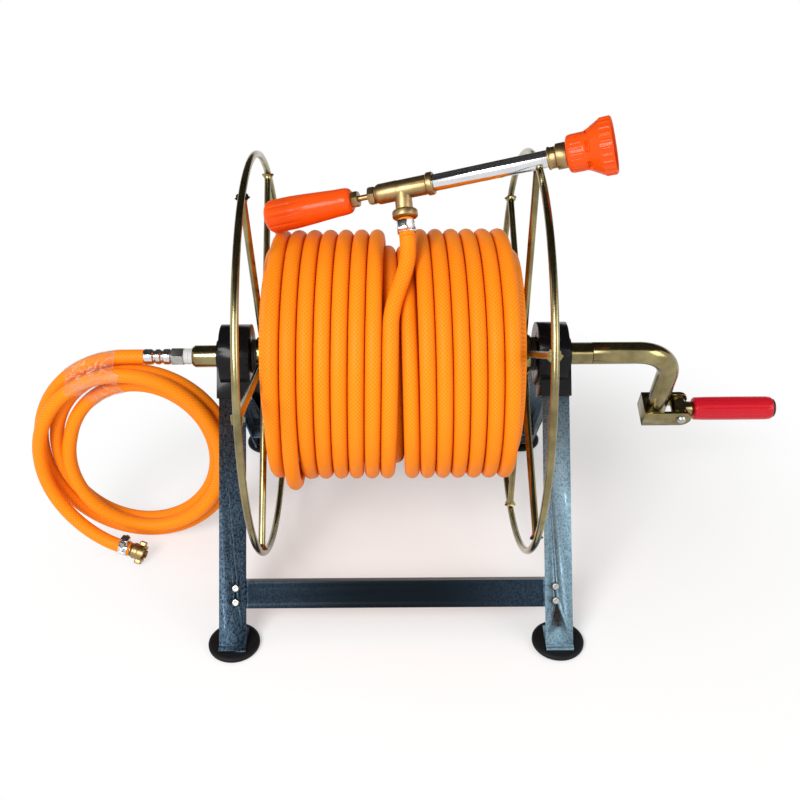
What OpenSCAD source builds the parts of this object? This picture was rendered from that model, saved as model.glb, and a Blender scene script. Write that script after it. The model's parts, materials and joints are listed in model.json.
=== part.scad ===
// Spray hose reel: an A-frame stand, a drum of two wire wheels on a pipe axle, a wound hose,
// a cranked handle that folds, a rotary water inlet with its supply hose, and a spray lance.
// Millimetres, +X towards the crank, +Z up. The origin is on the floor, under the middle of the
// reel's box without the supply hose. Drawing starts at the reel's middle plane; at_origin() shifts it.

/* [Stand] */
// Height of the axle above the floor
axle_h = 217; // [212:1:240]
// Distance from the axle to each foot's centre, to the front and to the rear
foot_reach = 162; // [150:1:180]
// Distance from the reel's middle plane to each leg's centre line
leg_x = 151; // [149:0.5:158]
// Side of the equal angle steel of the legs and bars
angle_w = 25; // [22:0.5:28]
// Wall of the angle steel
angle_t = 2.5; // [2:0.25:3.5]
// Distance along a leg from the axle to the crossbar's middle
bar_drop = 224; // [200:1:228]
// Distance between the two screws at a crossbar's end
bar_screw_pitch = 13; // [11:0.5:14]
// Distance from a leg's centre line to its crossbar screws, towards the reel
bar_screw_in = 3; // [0:0.5:5]
// Thread diameter of the crossbar screws
bar_screw_d = 4; // [3:0.5:5]
// Diameter of a rubber foot
foot_d = 48; // [44:1:56]
// Thickness of a rubber foot
foot_t = 5; // [4:0.5:8]
// Shank diameter of the rivets in the feet and sockets
rivet_d = 5; // [4:0.5:6]

/* [Brackets] */
// Radius of a bracket's round head
head_r = 30; // [28:0.5:34]
// Width of a bracket's round head along the axle
head_w = 28; // [26:0.5:29]
// Distance along a leg from the axle to the end of its socket
socket_end = 41; // [38:1:50]
// Plastic wall round a leg in its socket
socket_wall = 1.6; // [1.2:0.2:2.4]
// Radius of the collar outside a bracket
collar_r = 13.5; // [13.2:0.1:16]
// Length of the collar outside a bracket
collar_l = 4.5; // [3:0.5:6]
// Wall of the plain bearing bush in a bracket
bush_wall = 1.5; // [1:0.1:2]

/* [Wheels and drum] */
// Distance between the two wheels, rod centre to rod centre
wheel_span = 244; // [243:1:250]
// Radius of a wheel's rim at the rod's centre
rim_r = 185; // [175:1:195]
// Diameter of the rod that rims and spokes are made of
rod_d = 6.4; // [5:0.2:7]
// Number of spokes in a wheel
spoke_n = 6; // [4:1:8]
// Turn of the left wheel's first spoke from the top, towards the rear
spoke_turn_left = 45; // [0:1:59]
// Turn of the right wheel's first spoke from the top, towards the rear
spoke_turn_right = 0; // [0:1:59]
// Outer radius of a wheel's hub
hub_r = 18; // [16:0.5:22]
// Outer diameter of the axle and crank pipe
pipe_d = 21; // [20:0.2:22]
// Bore of the axle and crank pipe
pipe_bore = 16; // [14:0.5:17]
// Outer radius of the drum's barrel
barrel_r = 41; // [35:0.5:50]
// Sheet thickness of the drum's barrel
barrel_t = 1.5; // [1:0.1:2.5]

/* [Wound hose] */
// Outer diameter of the hose
hose_d = 13.9; // [12:0.1:14]
// Distance between two turns of the hose
turn_pitch = 14.4; // [14.4:0.1:14.8]
// Outer radius of the full winding
wound_r = 117; // [114:0.5:120]
// Radial step between two layers of the hose
layer_step = 14.7; // [14.7:0.1:15.5]
// Place along the axle of the first turn, at the crank side
wound_x_right = 106; // [104:0.5:107]
// Place along the axle of the last lower turn, at the inlet side
wound_x_left = -110; // [-110:0.5:-106]
// Place along the axle where the outer layer leaves the winding
lead_x = -2.8; // [-5:0.1:-2.5]

/* [Crank] */
// Place along the axle where the crank pipe joins the axle
crank_x = 187; // [180:1:195]
// Length of the crank pipe's straight part along the axle
crank_run = 45; // [40:1:60]
// Bend radius of the crank pipe's centre line
crank_bend_r = 34; // [32:1:45]
// Distance from the axle to the folding pivot
crank_throw = 90; // [80:1:110]
// Turn of the crank from hanging straight down, towards the rear
crank_turn = 20; // [0:1:40]
// Distance of the folding pivot outside the crank pipe's centre line
pivot_out = 24.6; // [24.6:0.2:30]
// Diameter of the folding pivot's pin
pivot_d = 6; // [5:0.5:8]
// Sheet thickness of the clevis
clevis_t = 3; // [2:0.5:4]
// Width of the clevis along the crank pipe
clevis_w = 20; // [16:1:22]
// Diameter of the folding handle's rod
handle_rod_d = 15; // [12:0.5:16]
// Diameter of the spindle inside the grip
spindle_d = 9; // [7:0.5:10]
// Outer diameter of the grip
grip_d = 24; // [21:0.5:24]
// Length of the grip
grip_l = 80; // [60:1:100]
// Distance from the pivot to the grip
grip_start = 13.4; // [13:0.2:18]

/* [Inlet] */
// Place along the axle of the pipe's closed-in end
pipe_end_x = -190; // [-196:1:-186]
// Length of the swivel's neck outside the pipe
neck_l = 8.5; // [7:0.5:12]
// Distance across the flats of the union nut
union_af = 15.5; // [14:0.5:18]
// Length of the union nut
union_l = 11.5; // [10:0.5:14]
// Outer diameter of the crimped ferrule
ferrule_d = 15.4; // [15:0.1:16]
// Length of the crimped ferrule
ferrule_l = 26; // [22:1:32]
// Distance across the supply hose's hanging loops, at its centre line
loop_w = 204; // [190:1:206]
// Straight length of the supply hose between its ferrule and the loops
loop_start = 19; // [14:0.5:22]
// Distance from the outermost to the innermost supply loop, per turn
loop_step = 15.3; // [15:0.1:15.8]
// Distance between the rear and front layers of supply loops
loop_layer = 15.2; // [14.8:0.1:17]
// Distance that the loops lean forward at the floor
loop_lean = 4; // [0:1:10]
// Outer diameter of the supply coupling nut
coupling_d = 16.4; // [15.6:0.2:18]
// Bore of the supply coupling nut's thread
coupling_bore = 12; // [11:0.2:13]
// Length of the supply coupling nut
coupling_l = 14; // [12:0.5:18]

/* [Lance] */
// Turn of the lance's nozzle towards the front
lance_yaw = 11.4; // [8:0.2:13]
// Lean of the lance in front of the right wheel's top
lance_lean = 5.6; // [4:0.2:8]
// Outer diameter of the lance's tube
tube_d = 14.5; // [13:0.1:16]
// Length of the lance's tube that shows
tube_l = 97.5; // [94:0.5:104]
// Distance along the tube from its valve body to where it lies on the wheel
rest_along = 92.6; // [90:0.2:94]
// Diameter of the lance's valve body
body_d = 17.6; // [17:0.1:19]
// Length of the lance's valve body
body_l = 52.4; // [50:0.2:56]
// Distance from the valve body's front end to its hose branch
branch_back = 28; // [25:1:30]
// Turn of the hose branch from straight down, towards the front
branch_turn = 38; // [36:1:48]
// Length of the lance's handle
lance_handle_l = 81; // [70:1:83]
// Diameter of the lance handle's free end
lance_handle_d = 29.4; // [26:0.2:30]
// Diameter of the lance handle's front end
lance_handle_front_d = 22.6; // [20:0.2:26]
// Diameter of the valve's rod
valve_rod_d = 5; // [4:0.2:6]
// Length of the valve's rod that shows between the handle and the gland
rod_gap = 9.9; // [6:0.1:11]
// Diameter of the nozzle's open bell
bell_d = 47; // [42:0.5:52]
// Diameter of the nozzle's rear part
bell_neck_d = 31; // [29:0.5:34]
// Length of the nozzle
bell_l = 38; // [34:1:44]
// Wall of the nozzle
bell_wall = 2.4; // [1.6:0.2:3]
// Number of ribs round the nozzle's bell
bell_rib_n = 24; // [12:1:32]

/* [Hidden] */
$fn = 64;

// Clearances
fit = 0.3;        // between pieces that lie against each other
running = 0.05;   // radial, in bearings and pivots
pressed = 0.02;   // radial, in pressed and threaded seats
past = 1;         // how far a cutter runs past the face that it opens

// Derived places
pipe_r = pipe_d / 2;
rod_r = rod_d / 2;
wheel_x = wheel_span / 2;
head_out = leg_x + angle_w / 2 - socket_wall;
head_in = head_out - head_w;
leg_tilt = atan(foot_reach / axle_h);
leg_span = axle_h / cos(leg_tilt);
socket_w = angle_w + 2 * fit + 2 * socket_wall;
leg_top = socket_end - 12;
seat = 0.1;         // under the heads of screws and rivets
tab_t = angle_t;
tab_top = foot_t + fit + tab_t;
bush_r = pipe_r + running + bush_wall;
bush_flange_t = 3;
washer_t = 1.6;
hub_in = wheel_x - rod_r - 5;
hub_out = head_in - bush_flange_t - washer_t - 3 * fit;
barrel_x = hub_in - fit;
arm_x = crank_x + fit + crank_run + crank_bend_r;
pivot_x = arm_x + pivot_out;
grip_x = pivot_x + grip_start;
cap_t = 2.2;
cap_x = grip_x + grip_l + 2 * fit;
union_x = pipe_end_x - neck_l;
ferrule_x = union_x - union_l - fit;
hose_exit_x = ferrule_x - ferrule_l;
x_left = hose_exit_x;
x_right = cap_x + cap_t;
x_mid = (x_left + x_right) / 2;

// Lance places, along its own axis from the point that lies on the wheel
body_front = -rest_along;
body_back = body_front - body_l;
branch_s = body_front - branch_back;
gland_l = 6;
gland_back = body_back - gland_l;
rod_nut_l = 6;
handle_front = gland_back - rod_gap - rod_nut_l;
handle_back = handle_front - lance_handle_l;
tube_front = body_front + tube_l;
collar_front = tube_front + 7;
bell_back = collar_front + 9;
bell_front = bell_back + bell_l;

// The lance lies on the right wheel and, with its handle's thick end, on the wound hose
handle_clear = 2.1 * fit;
handle_low = handle_back + 6;
function lance_r(pitch) = rim_r + (rod_r + tube_d / 2 + fit) / cos(pitch);
function handle_gap(pitch) = norm([
  lance_r(pitch) * sin(lance_lean) + handle_low * cos(pitch) * sin(lance_yaw),
  lance_r(pitch) * cos(lance_lean) + handle_low * sin(pitch)])
  - lance_handle_d / 2 * cos(pitch) - wound_r;
function lance_solve(low, high, n) = let (mid = (low + high) / 2)
  n == 0 ? mid : handle_gap(mid) > handle_clear ? lance_solve(mid, high, n - 1)
  : lance_solve(low, mid, n - 1);
lance_pitch = lance_solve(0, 40, 30);
rest_r = lance_r(lance_pitch);
echo(lance_pitch = lance_pitch);
tail_start = 17;
hose_end_start = 26;
hose_end_stop = 42;

// ---------------------------------------------------------------- helpers

module at_origin() { translate([-x_mid, 0, 0]) children(); }

module on_axle() { translate([0, 0, axle_h]) children(); }

// A solid turned about X: points are [radius, place along X]
module turned(points) { rotate([0, 90, 0]) rotate_extrude() polygon(points); }

module rod_x(x0, x1, r) { translate([x0, 0, 0]) rotate([0, 90, 0]) cylinder(r = r, h = x1 - x0); }

module pipe_x(x0, x1, r_out, r_in) {
  difference() {
    rod_x(x0, x1, r_out);
    rod_x(x0 - past, x1 + past, r_in);
  }
}

module hex_x(x0, x1, flats) {
  intersection() {
    translate([x0, 0, 0]) rotate([0, 90, 0]) cylinder(d = flats / cos(30), h = x1 - x0, $fn = 6);
    turned([[0, x0], [flats * 0.52, x0], [flats * 0.58, x0 + 1], [flats * 0.58, x1 - 1],
      [flats * 0.52, x1], [0, x1]]);
  }
}

// A leg's own frame: the axle at the origin, -Z down the leg, end -1 in front and +1 behind
module leg_frame(end) { on_axle() rotate([end * leg_tilt, 0, 0]) children(); }

function smooth(t) = let (c = max(0, min(1, t))) c * c * (3 - 2 * c);

// Rings of a tube along points, joined into one closed skin of triangles
function unit(v) = v / norm(v);
function tangent(p, i) = unit(p[min(i + 1, len(p) - 1)] - p[max(i - 1, 0)]);
function ring(p, i, r, sides, up) =
  let (t = tangent(p, i), a = unit(cross(t, up(i))), b = cross(a, t))
  [for (k = [0:sides - 1]) p[i] + r * (cos(360 * k / sides) * a + sin(360 * k / sides) * b)];

module tube_along(p, r, sides, up) {
  n = len(p);
  points = [for (i = [0:n - 1]) each ring(p, i, r, sides, up)];
  skin = [for (i = [0:n - 2], k = [0:sides - 1])
    let (a = i * sides + k, b = i * sides + (k + 1) % sides, c = b + sides, d = a + sides)
    each [[a, b, c], [a, c, d]]];
  first = [for (k = [1:sides - 2]) [0, k + 1, k]];
  last = [for (k = [1:sides - 2]) let (m = (n - 1) * sides) [m, m + k, m + k + 1]];
  polyhedron(points, concat(skin, first, last));
}

function bezier(a, b, c, d, t) =
  pow(1 - t, 3) * a + 3 * t * pow(1 - t, 2) * b + 3 * t * t * (1 - t) * c + pow(t, 3) * d;

// Least distance between two stretches of a path that are more than skip points apart
function self_gap(p, skip, width) =
  min([for (i = [0:len(p) - 1], j = [i + skip:1:min(len(p) - 1, i + skip + 60)]) norm(p[i] - p[j])])
  - width;

function path_length(p) = [for (i = 1, s = 0; i <= len(p); s = s + (i < len(p) ? norm(p[i] - p[i - 1])
  : 0), i = i + 1) s][len(p) - 1];

// ---------------------------------------------------------------- stand

module bracket(side) {
  color("#18181a") mirror([side < 0 ? 1 : 0, 0, 0]) difference() {
    union() {
      on_axle() rod_x(head_in, head_out, head_r);
      on_axle() rod_x(head_out - past, head_out + collar_l, collar_r + 1.5);
      for (end = [-1, 1]) leg_frame(end)
        translate([leg_x - socket_w / 2, -socket_w / 2, -socket_end])
          cube([socket_w, socket_w, socket_end - 12]);
    }
    on_axle() rod_x(head_in - 10, head_out + collar_l + past, bush_r + pressed);
    on_axle() rod_x(head_out + past, leg_x + socket_w, bush_r + pressed);
    for (end = [-1, 1]) leg_frame(end) {
      translate([leg_x - angle_w / 2 - fit, -angle_w / 2 - fit, -socket_end - past])
        cube([angle_w + 2 * fit, angle_w + 2 * fit, socket_end - leg_top + fit + past]);
      socket_rivet_hole();
    }
  }
}

// Hole of the rivet that holds a leg in its socket, on the outer side
module socket_rivet_hole() {
  translate([0, 0, -(socket_end + leg_top) / 2])
    rod_x(leg_x, leg_x + socket_w, rivet_d / 2 + pressed);
}

// Cross-section of a leg or bar: a face towards -Y and a flange at +X
module angle_section() {
  translate([-angle_w / 2, -angle_w / 2]) {
    square([angle_w, angle_t]);
    translate([angle_w - angle_t, 0]) square([angle_t, angle_w]);
  }
}

module leg(side, end) {
  color(side < 0 ? "#41566e" : "#7d93a3") mirror([side < 0 ? 1 : 0, 0, 0])
    mirror([0, end > 0 ? 1 : 0, 0]) difference() {
      union() {
        intersection() {
          leg_frame(-1) translate([leg_x, 0, -leg_span - angle_w])
            linear_extrude(leg_span + angle_w - leg_top) angle_section();
          translate([0, -foot_reach * 2, tab_top - 0.5]) cube([leg_x * 2, foot_reach * 2, axle_h]);
        }
        translate([leg_x - angle_w / 2, -foot_reach - 15, foot_t + fit]) cube([angle_w, 29, tab_t]);
      }
      translate([leg_x, -foot_reach, 0]) cylinder(d = rivet_d + 2 * pressed, h = tab_top + past);
      leg_frame(-1) socket_rivet_hole();
      bar_screw_places() translate([0, 0, -past])
        cylinder(d = bar_screw_d + 2 * pressed, h = angle_w + past);
    }
}

// Places of the crossbar screws on the right front leg, +Z pointing into the leg's face
module bar_screw_places() {
  leg_frame(-1) for (s = [-0.5, 0.5])
    translate([leg_x - bar_screw_in, -angle_w / 2, -bar_drop + s * bar_screw_pitch])
      rotate([-90, 0, 0]) children();
}

module crossbar(end) {
  bar_half = leg_x + angle_w / 2 - angle_t - fit;
  color("#2b3b4e") mirror([0, end > 0 ? 1 : 0, 0]) difference() {
    leg_frame(-1) translate([-bar_half, -angle_w / 2 + angle_t + fit, -bar_drop - angle_w / 2]) {
      cube([2 * bar_half, angle_t, angle_w]);
      translate([0, 0, angle_w - angle_t]) cube([2 * bar_half, angle_w - angle_t, angle_t]);
    }
    for (side = [0, 1]) mirror([side, 0, 0]) bar_screw_places()
      cylinder(d = bar_screw_d + 2 * pressed, h = angle_w / 2);
  }
}

module at_bar_screws() {
  for (side = [0, 1], end = [0, 1]) mirror([side, 0, 0]) mirror([0, end, 0])
    bar_screw_places() children();
}

module bar_screws() {
  head_d = bar_screw_d * 2;
  color("#c9c7bd") at_bar_screws() difference() {
    union() {
      translate([0, 0, -1]) cylinder(d = bar_screw_d, h = 2 * angle_t + 6);
      translate([0, 0, -seat]) mirror([0, 0, 1]) cylinder(d1 = head_d, d2 = head_d * 0.7, h = 2.4);
    }
    for (a = [45, 135]) rotate(a) translate([-1.6, -0.4, -2.5 - past]) cube([3.2, 0.8, 1.2 + past]);
  }
}

module bar_nuts() {
  color("#a9a79d") at_bar_screws() translate([0, 0, 2 * angle_t + fit + seat]) difference() {
    cylinder(d = bar_screw_d * 2, h = 3.2, $fn = 6);
    translate([0, 0, -past]) cylinder(d = bar_screw_d + 2 * pressed, h = 3.2 + 2 * past);
  }
}

// Eight rivets: four in the feet and four in the leg sockets
module rivets() {
  color("#b9b9b4") for (side = [0, 1], end = [0, 1]) mirror([side, 0, 0]) mirror([0, end, 0]) {
    translate([leg_x, -foot_reach, 0]) {
      translate([0, 0, 1.2]) cylinder(d = rivet_d, h = tab_top);
      translate([0, 0, 1.2]) cylinder(d = rivet_d * 2, h = 1);
      translate([0, 0, tab_top + seat]) cylinder(d1 = rivet_d * 1.8, d2 = rivet_d, h = 1.6);
    }
    leg_frame(-1) translate([leg_x + socket_w / 2 + seat, 0, -(socket_end + leg_top) / 2]) {
      rod_x(-socket_wall - fit - angle_t - 1.4, 0, rivet_d / 2);
      turned([[0, 0], [rivet_d * 0.9, 0], [rivet_d * 0.6, 1.1], [0, 1.3]]);
    }
  }
}

module foot(side, end) {
  color("#141414") mirror([side < 0 ? 1 : 0, 0, 0]) mirror([0, end > 0 ? 1 : 0, 0])
    translate([leg_x, -foot_reach, 0]) difference() {
      union() {
        cylinder(d1 = foot_d - 2, d2 = foot_d, h = 1);
        translate([0, 0, 1]) cylinder(d = foot_d, h = foot_t - 2.5);
        translate([0, 0, foot_t - 1.5]) cylinder(d1 = foot_d, d2 = foot_d - 5, h = 1.5);
      }
      translate([0, 0, -past]) cylinder(d = rivet_d + 2 * pressed, h = foot_t + 2 * past);
      translate([0, 0, -past]) cylinder(d = rivet_d * 2 + 2 * fit, h = 2.2 + past + seat);
    }
}

module bushes() {
  color("#26262a") for (side = [0, 1]) mirror([side, 0, 0]) on_axle() {
    pipe_x(head_in - fit, head_out + collar_l, bush_r, pipe_r + running);
    pipe_x(head_in - fit - bush_flange_t, head_in - fit, bush_r + 4, pipe_r + running);
  }
}

// ---------------------------------------------------------------- axle, wheels and barrel

module axle_pipe() {
  lip = 3;
  color("#c8b878") on_axle() difference() {
    turned([[0, pipe_end_x], [pipe_r - 1.5, pipe_end_x], [pipe_r, pipe_end_x + 2.5],
      [pipe_r, crank_x], [0, crank_x]]);
    rod_x(pipe_end_x - past, crank_x + past, pipe_bore / 2 - 0.6);
    rod_x(pipe_end_x + lip, crank_x + past, pipe_bore / 2);
    translate([outlet_x, 0, 0]) cylinder(r = outlet_r, h = pipe_d);
  }
}

module thrust_washers() {
  color("#8f8f8a") for (side = [0, 1]) mirror([side, 0, 0]) on_axle()
    pipe_x(hub_out + fit, hub_out + fit + washer_t, bush_r + 4, pipe_r + running);
}

module wheel_hubs() {
  color("#b39a55") for (side = [0, 1]) mirror([side, 0, 0]) on_axle()
    pipe_x(hub_in, hub_out, hub_r, pipe_r + pressed);
}

module spokes(side, first) {
  color("#b7a266") translate([side * wheel_x, 0, axle_h]) for (k = [0:spoke_n - 1])
    rotate([-first - k * 360 / spoke_n, 0, 0]) translate([0, 0, hub_r + fit])
      cylinder(d = rod_d, h = rim_r - rod_r - hub_r - 2 * fit);
}

module rim(side) {
  color("#9c8650") translate([side * wheel_x, 0, axle_h]) rotate([0, 90, 0])
    rotate_extrude() translate([rim_r, 0]) circle(r = rod_r);
}

module drum_barrel() {
  inner = pipe_r + pressed;
  color("#8c7c4c") on_axle() difference() {
    turned([[inner, -barrel_x], [barrel_r, -barrel_x], [barrel_r, barrel_x], [inner, barrel_x],
      [inner, barrel_x - barrel_t], [barrel_r - barrel_t, barrel_x - barrel_t],
      [barrel_r - barrel_t, -barrel_x + barrel_t], [inner, -barrel_x + barrel_t]]);
    translate([outlet_x, 0, 0]) cylinder(d = hose_d + 2 * fit, h = barrel_r * 2);
  }
}

outlet_x = -60;
outlet_r = 4;

// Threaded tail that carries the water from the axle to the hose's inner end
module outlet_tail() {
  color("#c2a052") on_axle() translate([outlet_x, 0, 0]) difference() {
    union() {
      translate([0, 0, pipe_r - 2]) cylinder(r = outlet_r - pressed, h = 6);
      translate([0, 0, pipe_r + fit]) cylinder(d = 14, h = 4, $fn = 6);
      translate([0, 0, pipe_r + 4]) cylinder(d = 8.4, h = 16);
    }
    translate([0, 0, pipe_r - 3]) cylinder(r = 2.5, h = 30);
  }
}

// Straight inner end of the hose, from its tail through the barrel to the wound layers
module inner_lead() {
  color("#e8821e") on_axle() translate([outlet_x, 0, pipe_r + 4 + 2 * fit]) difference() {
    cylinder(d = hose_d, h = sqrt(pow(barrel_r, 2) - pow(hose_d / 2, 2)) - pipe_r - 4 - 2 * fit);
    translate([0, 0, -past]) cylinder(d = 8.5, h = barrel_r);
  }
}

// ---------------------------------------------------------------- wound hose

wound_mid_r = wound_r - hose_d / 2;
lower_mid_r = wound_mid_r - layer_step;
spare_end = 4;        // room that the last lower turn leaves beside its neighbour
climb_hold = 0.3;     // part of a turn that the climbing hose stays at the end
climb_turns = 0.6;    // part of a turn that the climb takes
turns_lower = (wound_x_right - wound_x_left - spare_end) / turn_pitch;
turns_all = turns_lower + climb_hold + (lead_x - wound_x_left) / turn_pitch;
lead_angle = 48;      // from the top towards the front, where the outer end leaves
dive_at = turns_all - 16.25;   // the turn beside the outer end dives under it
rings_per_turn = 24;

// Place along the axle, and radius, after s turns from the crank side
function wound_x(s) = s < turns_lower
  ? wound_x_right - turn_pitch * s - spare_end * smooth((s - turns_lower + 1) / 0.9)
  : wound_x_left + turn_pitch * max(0, s - turns_lower - climb_hold);
function wound_rad(s) = wound_mid_r - layer_step * smooth((s - dive_at) / 0.5)
  + layer_step * smooth((s - turns_lower) / climb_turns);
function wound_point(s) = let (a = lead_angle + 360 * (turns_all - s), r = wound_rad(s))
  [wound_x(s), -r * sin(a), axle_h + r * cos(a)];

// The lance's branch: place and direction of a point along it, in the reel's frame
function turn_x(v, a) = [v.x, v.y * cos(a) - v.z * sin(a), v.y * sin(a) + v.z * cos(a)];
function turn_y(v, a) = [v.x * cos(a) + v.z * sin(a), v.y, v.z * cos(a) - v.x * sin(a)];
function turn_z(v, a) = [v.x * cos(a) - v.y * sin(a), v.x * sin(a) + v.y * cos(a), v.z];
function lance_dir(v) = turn_z(turn_y(v, -lance_pitch), -lance_yaw);
lance_rest = [wheel_x, -rest_r * sin(lance_lean), axle_h + rest_r * cos(lance_lean)];
branch_dir = lance_dir(turn_x([0, 0, -1], -branch_turn));
branch_root = lance_rest + branch_s * lance_dir([1, 0, 0]);
lead_stop = branch_root + (hose_end_stop + fit) * branch_dir;

// Outer end of the hose, from the winding up to the hose end on the lance
lead_start = wound_point(turns_all);
lead_out = unit(wound_point(turns_all) - wound_point(turns_all - 0.01));
lead_n = 6;
lead_end = lead_stop + 2 * branch_dir;
lead_path = [for (i = [1:lead_n]) bezier(lead_start, lead_start + 33 * lead_out,
  lead_end + 32 * branch_dir, lead_end, i / lead_n)];

wound_n = floor(turns_all * rings_per_turn);
wound_path = concat(
  [wound_point(0) - unit(wound_point(0.01) - wound_point(0)) * hose_d],
  [for (i = [0:wound_n]) wound_point(turns_all * i / wound_n)],
  lead_path, [lead_stop]);
echo(wound_turns = turns_all, wound_gap = self_gap(wound_path, 12, hose_d),
  wound_length = path_length(wound_path));

module hose_winding() {
  color("#ff9020") tube_along(wound_path, hose_d / 2, 6,
    function (i) [1, 0, 0]);
}

// The inner layers, plain: full to the crank side, one layer lower under the turns at the inlet side
module hose_core() {
  high = wound_mid_r * cos(180 / rings_per_turn) - hose_d / 2 - fit;
  low = lower_mid_r * cos(180 / rings_per_turn) - hose_d / 2 - fit;
  step_x = wound_x(dive_at) + hose_d / 2 + 2 * fit;
  end_left = wound_x_left - hose_d / 2;
  end_right = wound_x_right + hose_d / 2;
  color("#e07a18") on_axle() turned([[barrel_r + fit, end_left], [low, end_left], [low, step_x],
    [high, step_x], [high, end_right], [barrel_r + fit, end_right]]);
}

// ---------------------------------------------------------------- crank

module on_crank() { on_axle() rotate([crank_turn, 0, 0]) children(); }

module crank_spigot() {
  color("#a08f55") on_crank() pipe_x(crank_x - 22, crank_x + 20, pipe_bore / 2 - pressed,
    pipe_bore / 2 - 3);
}

module crank_pipe() {
  bore = pipe_bore / 2;
  bend_x = crank_x + fit + crank_run;
  arm_l = crank_throw + clevis_w / 2 - crank_bend_r;
  color("#a8954f") on_crank() {
    pipe_x(crank_x + fit, bend_x, pipe_r, bore);
    translate([bend_x, 0, -crank_bend_r]) rotate([90, 0, 0]) rotate_extrude(angle = 90)
      translate([crank_bend_r, 0]) difference() {
        circle(r = pipe_r);
        circle(r = bore);
      }
    translate([arm_x, 0, -crank_bend_r - arm_l]) difference() {
      cylinder(r = pipe_r, h = arm_l);
      translate([0, 0, -past]) cylinder(r = bore, h = arm_l + 2 * past);
    }
  }
}

clevis_in = pipe_r + fit;

module crank_clevis() {
  base_x = arm_x - pipe_r - fit - clevis_t;
  color("#b5a468") on_crank() translate([0, 0, -crank_throw]) difference() {
    union() {
      translate([base_x, -clevis_in - clevis_t, -clevis_w / 2])
        cube([pivot_x - base_x, 2 * (clevis_in + clevis_t), clevis_w]);
      translate([pivot_x, clevis_in + clevis_t, 0]) rotate([90, 0, 0])
        cylinder(d = clevis_w, h = 2 * (clevis_in + clevis_t));
    }
    translate([base_x + clevis_t, -clevis_in, -clevis_w])
      cube([pivot_x + clevis_w - base_x, 2 * clevis_in, 2 * clevis_w]);
    translate([pivot_x, clevis_in + clevis_t + past, 0]) rotate([90, 0, 0])
      cylinder(r = pivot_d / 2 + pressed, h = 2 * (clevis_in + clevis_t + past));
  }
}

module crank_pin() {
  half = clevis_in + clevis_t;
  color("#c9c4b4") on_crank() translate([pivot_x, 0, -crank_throw]) rotate([90, 0, 0]) {
    translate([0, 0, -half - 2]) cylinder(d = pivot_d, h = 2 * half + 4);
    for (m = [0, 1]) mirror([0, 0, m]) translate([0, 0, half])
      cylinder(d1 = pivot_d + 4, d2 = pivot_d + 1, h = 2.6);
  }
}

module handle_rod() {
  eye_w = 2 * (clevis_in - fit);
  color("#c8c0a8") on_crank() translate([pivot_x, 0, -crank_throw]) difference() {
    union() {
      translate([0, eye_w / 2, 0]) rotate([90, 0, 0]) cylinder(d = handle_rod_d + 1, h = eye_w);
      rod_x(0, grip_start, handle_rod_d / 2);
      rod_x(0, cap_x - pivot_x, spindle_d / 2);
    }
    translate([0, eye_w, 0]) rotate([90, 0, 0]) cylinder(r = pivot_d / 2 + running, h = 2 * eye_w);
  }
}

module grip() {
  r = grip_d / 2;
  end = grip_x + fit + grip_l;
  color("#cc1f2c") on_crank() translate([0, 0, -crank_throw])
    turned([[spindle_d / 2 + running, grip_x + fit], [r - 2, grip_x + fit], [r - 0.6, grip_x + 1],
      [r - 0.2, grip_x + 3], [r, grip_x + 12], [r, end - 4], [r - 0.8, end - 1], [r - 2.4, end],
      [spindle_d / 2 + running, end]]);
}

module grip_cap() {
  color("#20201e") on_crank() translate([0, 0, -crank_throw])
    turned([[0, cap_x], [grip_d / 2 - 2.6, cap_x], [grip_d / 2 - 2.6, cap_x + 1.2],
      [grip_d / 2 - 4, cap_x + cap_t], [0, cap_x + cap_t]]);
}

// ---------------------------------------------------------------- water inlet

nipple_r = pipe_bore / 2 - running;
neck_r = pipe_bore / 2 - 0.6 - fit;
nipple_l = 22;
water_r = 3;
seal_r = 1;
seal_x = [6, 13];

module swivel_nipple() {
  front = pipe_end_x + 3 + fit;
  color("#d9dbd8") on_axle() difference() {
    turned([[water_r, union_x - union_l], [5.6, union_x - union_l], [5.6, union_x],
      [neck_r, union_x], [neck_r, front], [nipple_r, front],
      for (s = seal_x) each [[nipple_r, front + s - seal_r], [nipple_r - 2 * seal_r, front + s - seal_r],
        [nipple_r - 2 * seal_r, front + s + seal_r], [nipple_r, front + s + seal_r]],
      [nipple_r, front + nipple_l - 1], [nipple_r - 1, front + nipple_l],
      [water_r, front + nipple_l]]);
  }
}

module swivel_seals() {
  front = pipe_end_x + 3 + fit;
  color("#111111") on_axle() for (s = seal_x) translate([front + s, 0, 0]) rotate([0, 90, 0])
    rotate_extrude() translate([nipple_r - seal_r - 0.06, 0]) circle(r = seal_r - 0.06, $fn = 24);
}

module union_nut() {
  color("#c3c6c8") on_axle() difference() {
    hex_x(union_x - union_l, union_x - fit, union_af);
    rod_x(union_x - union_l - past, union_x + past, 5.6 + pressed);
  }
}

// Crimped sleeve with three rings, closed on the hose's end
module inlet_ferrule() {
  r = ferrule_d / 2;
  x = ferrule_x;
  s = ferrule_l / 26;
  color("#b4b9bd") on_axle() turned([[water_r, x], [r - 1.7, x], [r - 1.7, x - 1.5 * s],
    [r - 0.6, x - 1.6 * s], [r, x - 3 * s], [r - 0.2, x - 7.5 * s], [r - 1.8, x - 9 * s],
    [r - 0.4, x - 10.5 * s], [r - 0.3, x - 14 * s], [r - 1.8, x - 16 * s], [r - 0.3, x - 18 * s],
    [r, x - 20 * s], [r, x - 24.5 * s], [r - 0.5, x - ferrule_l], [water_r, x - ferrule_l]]);
}

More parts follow.
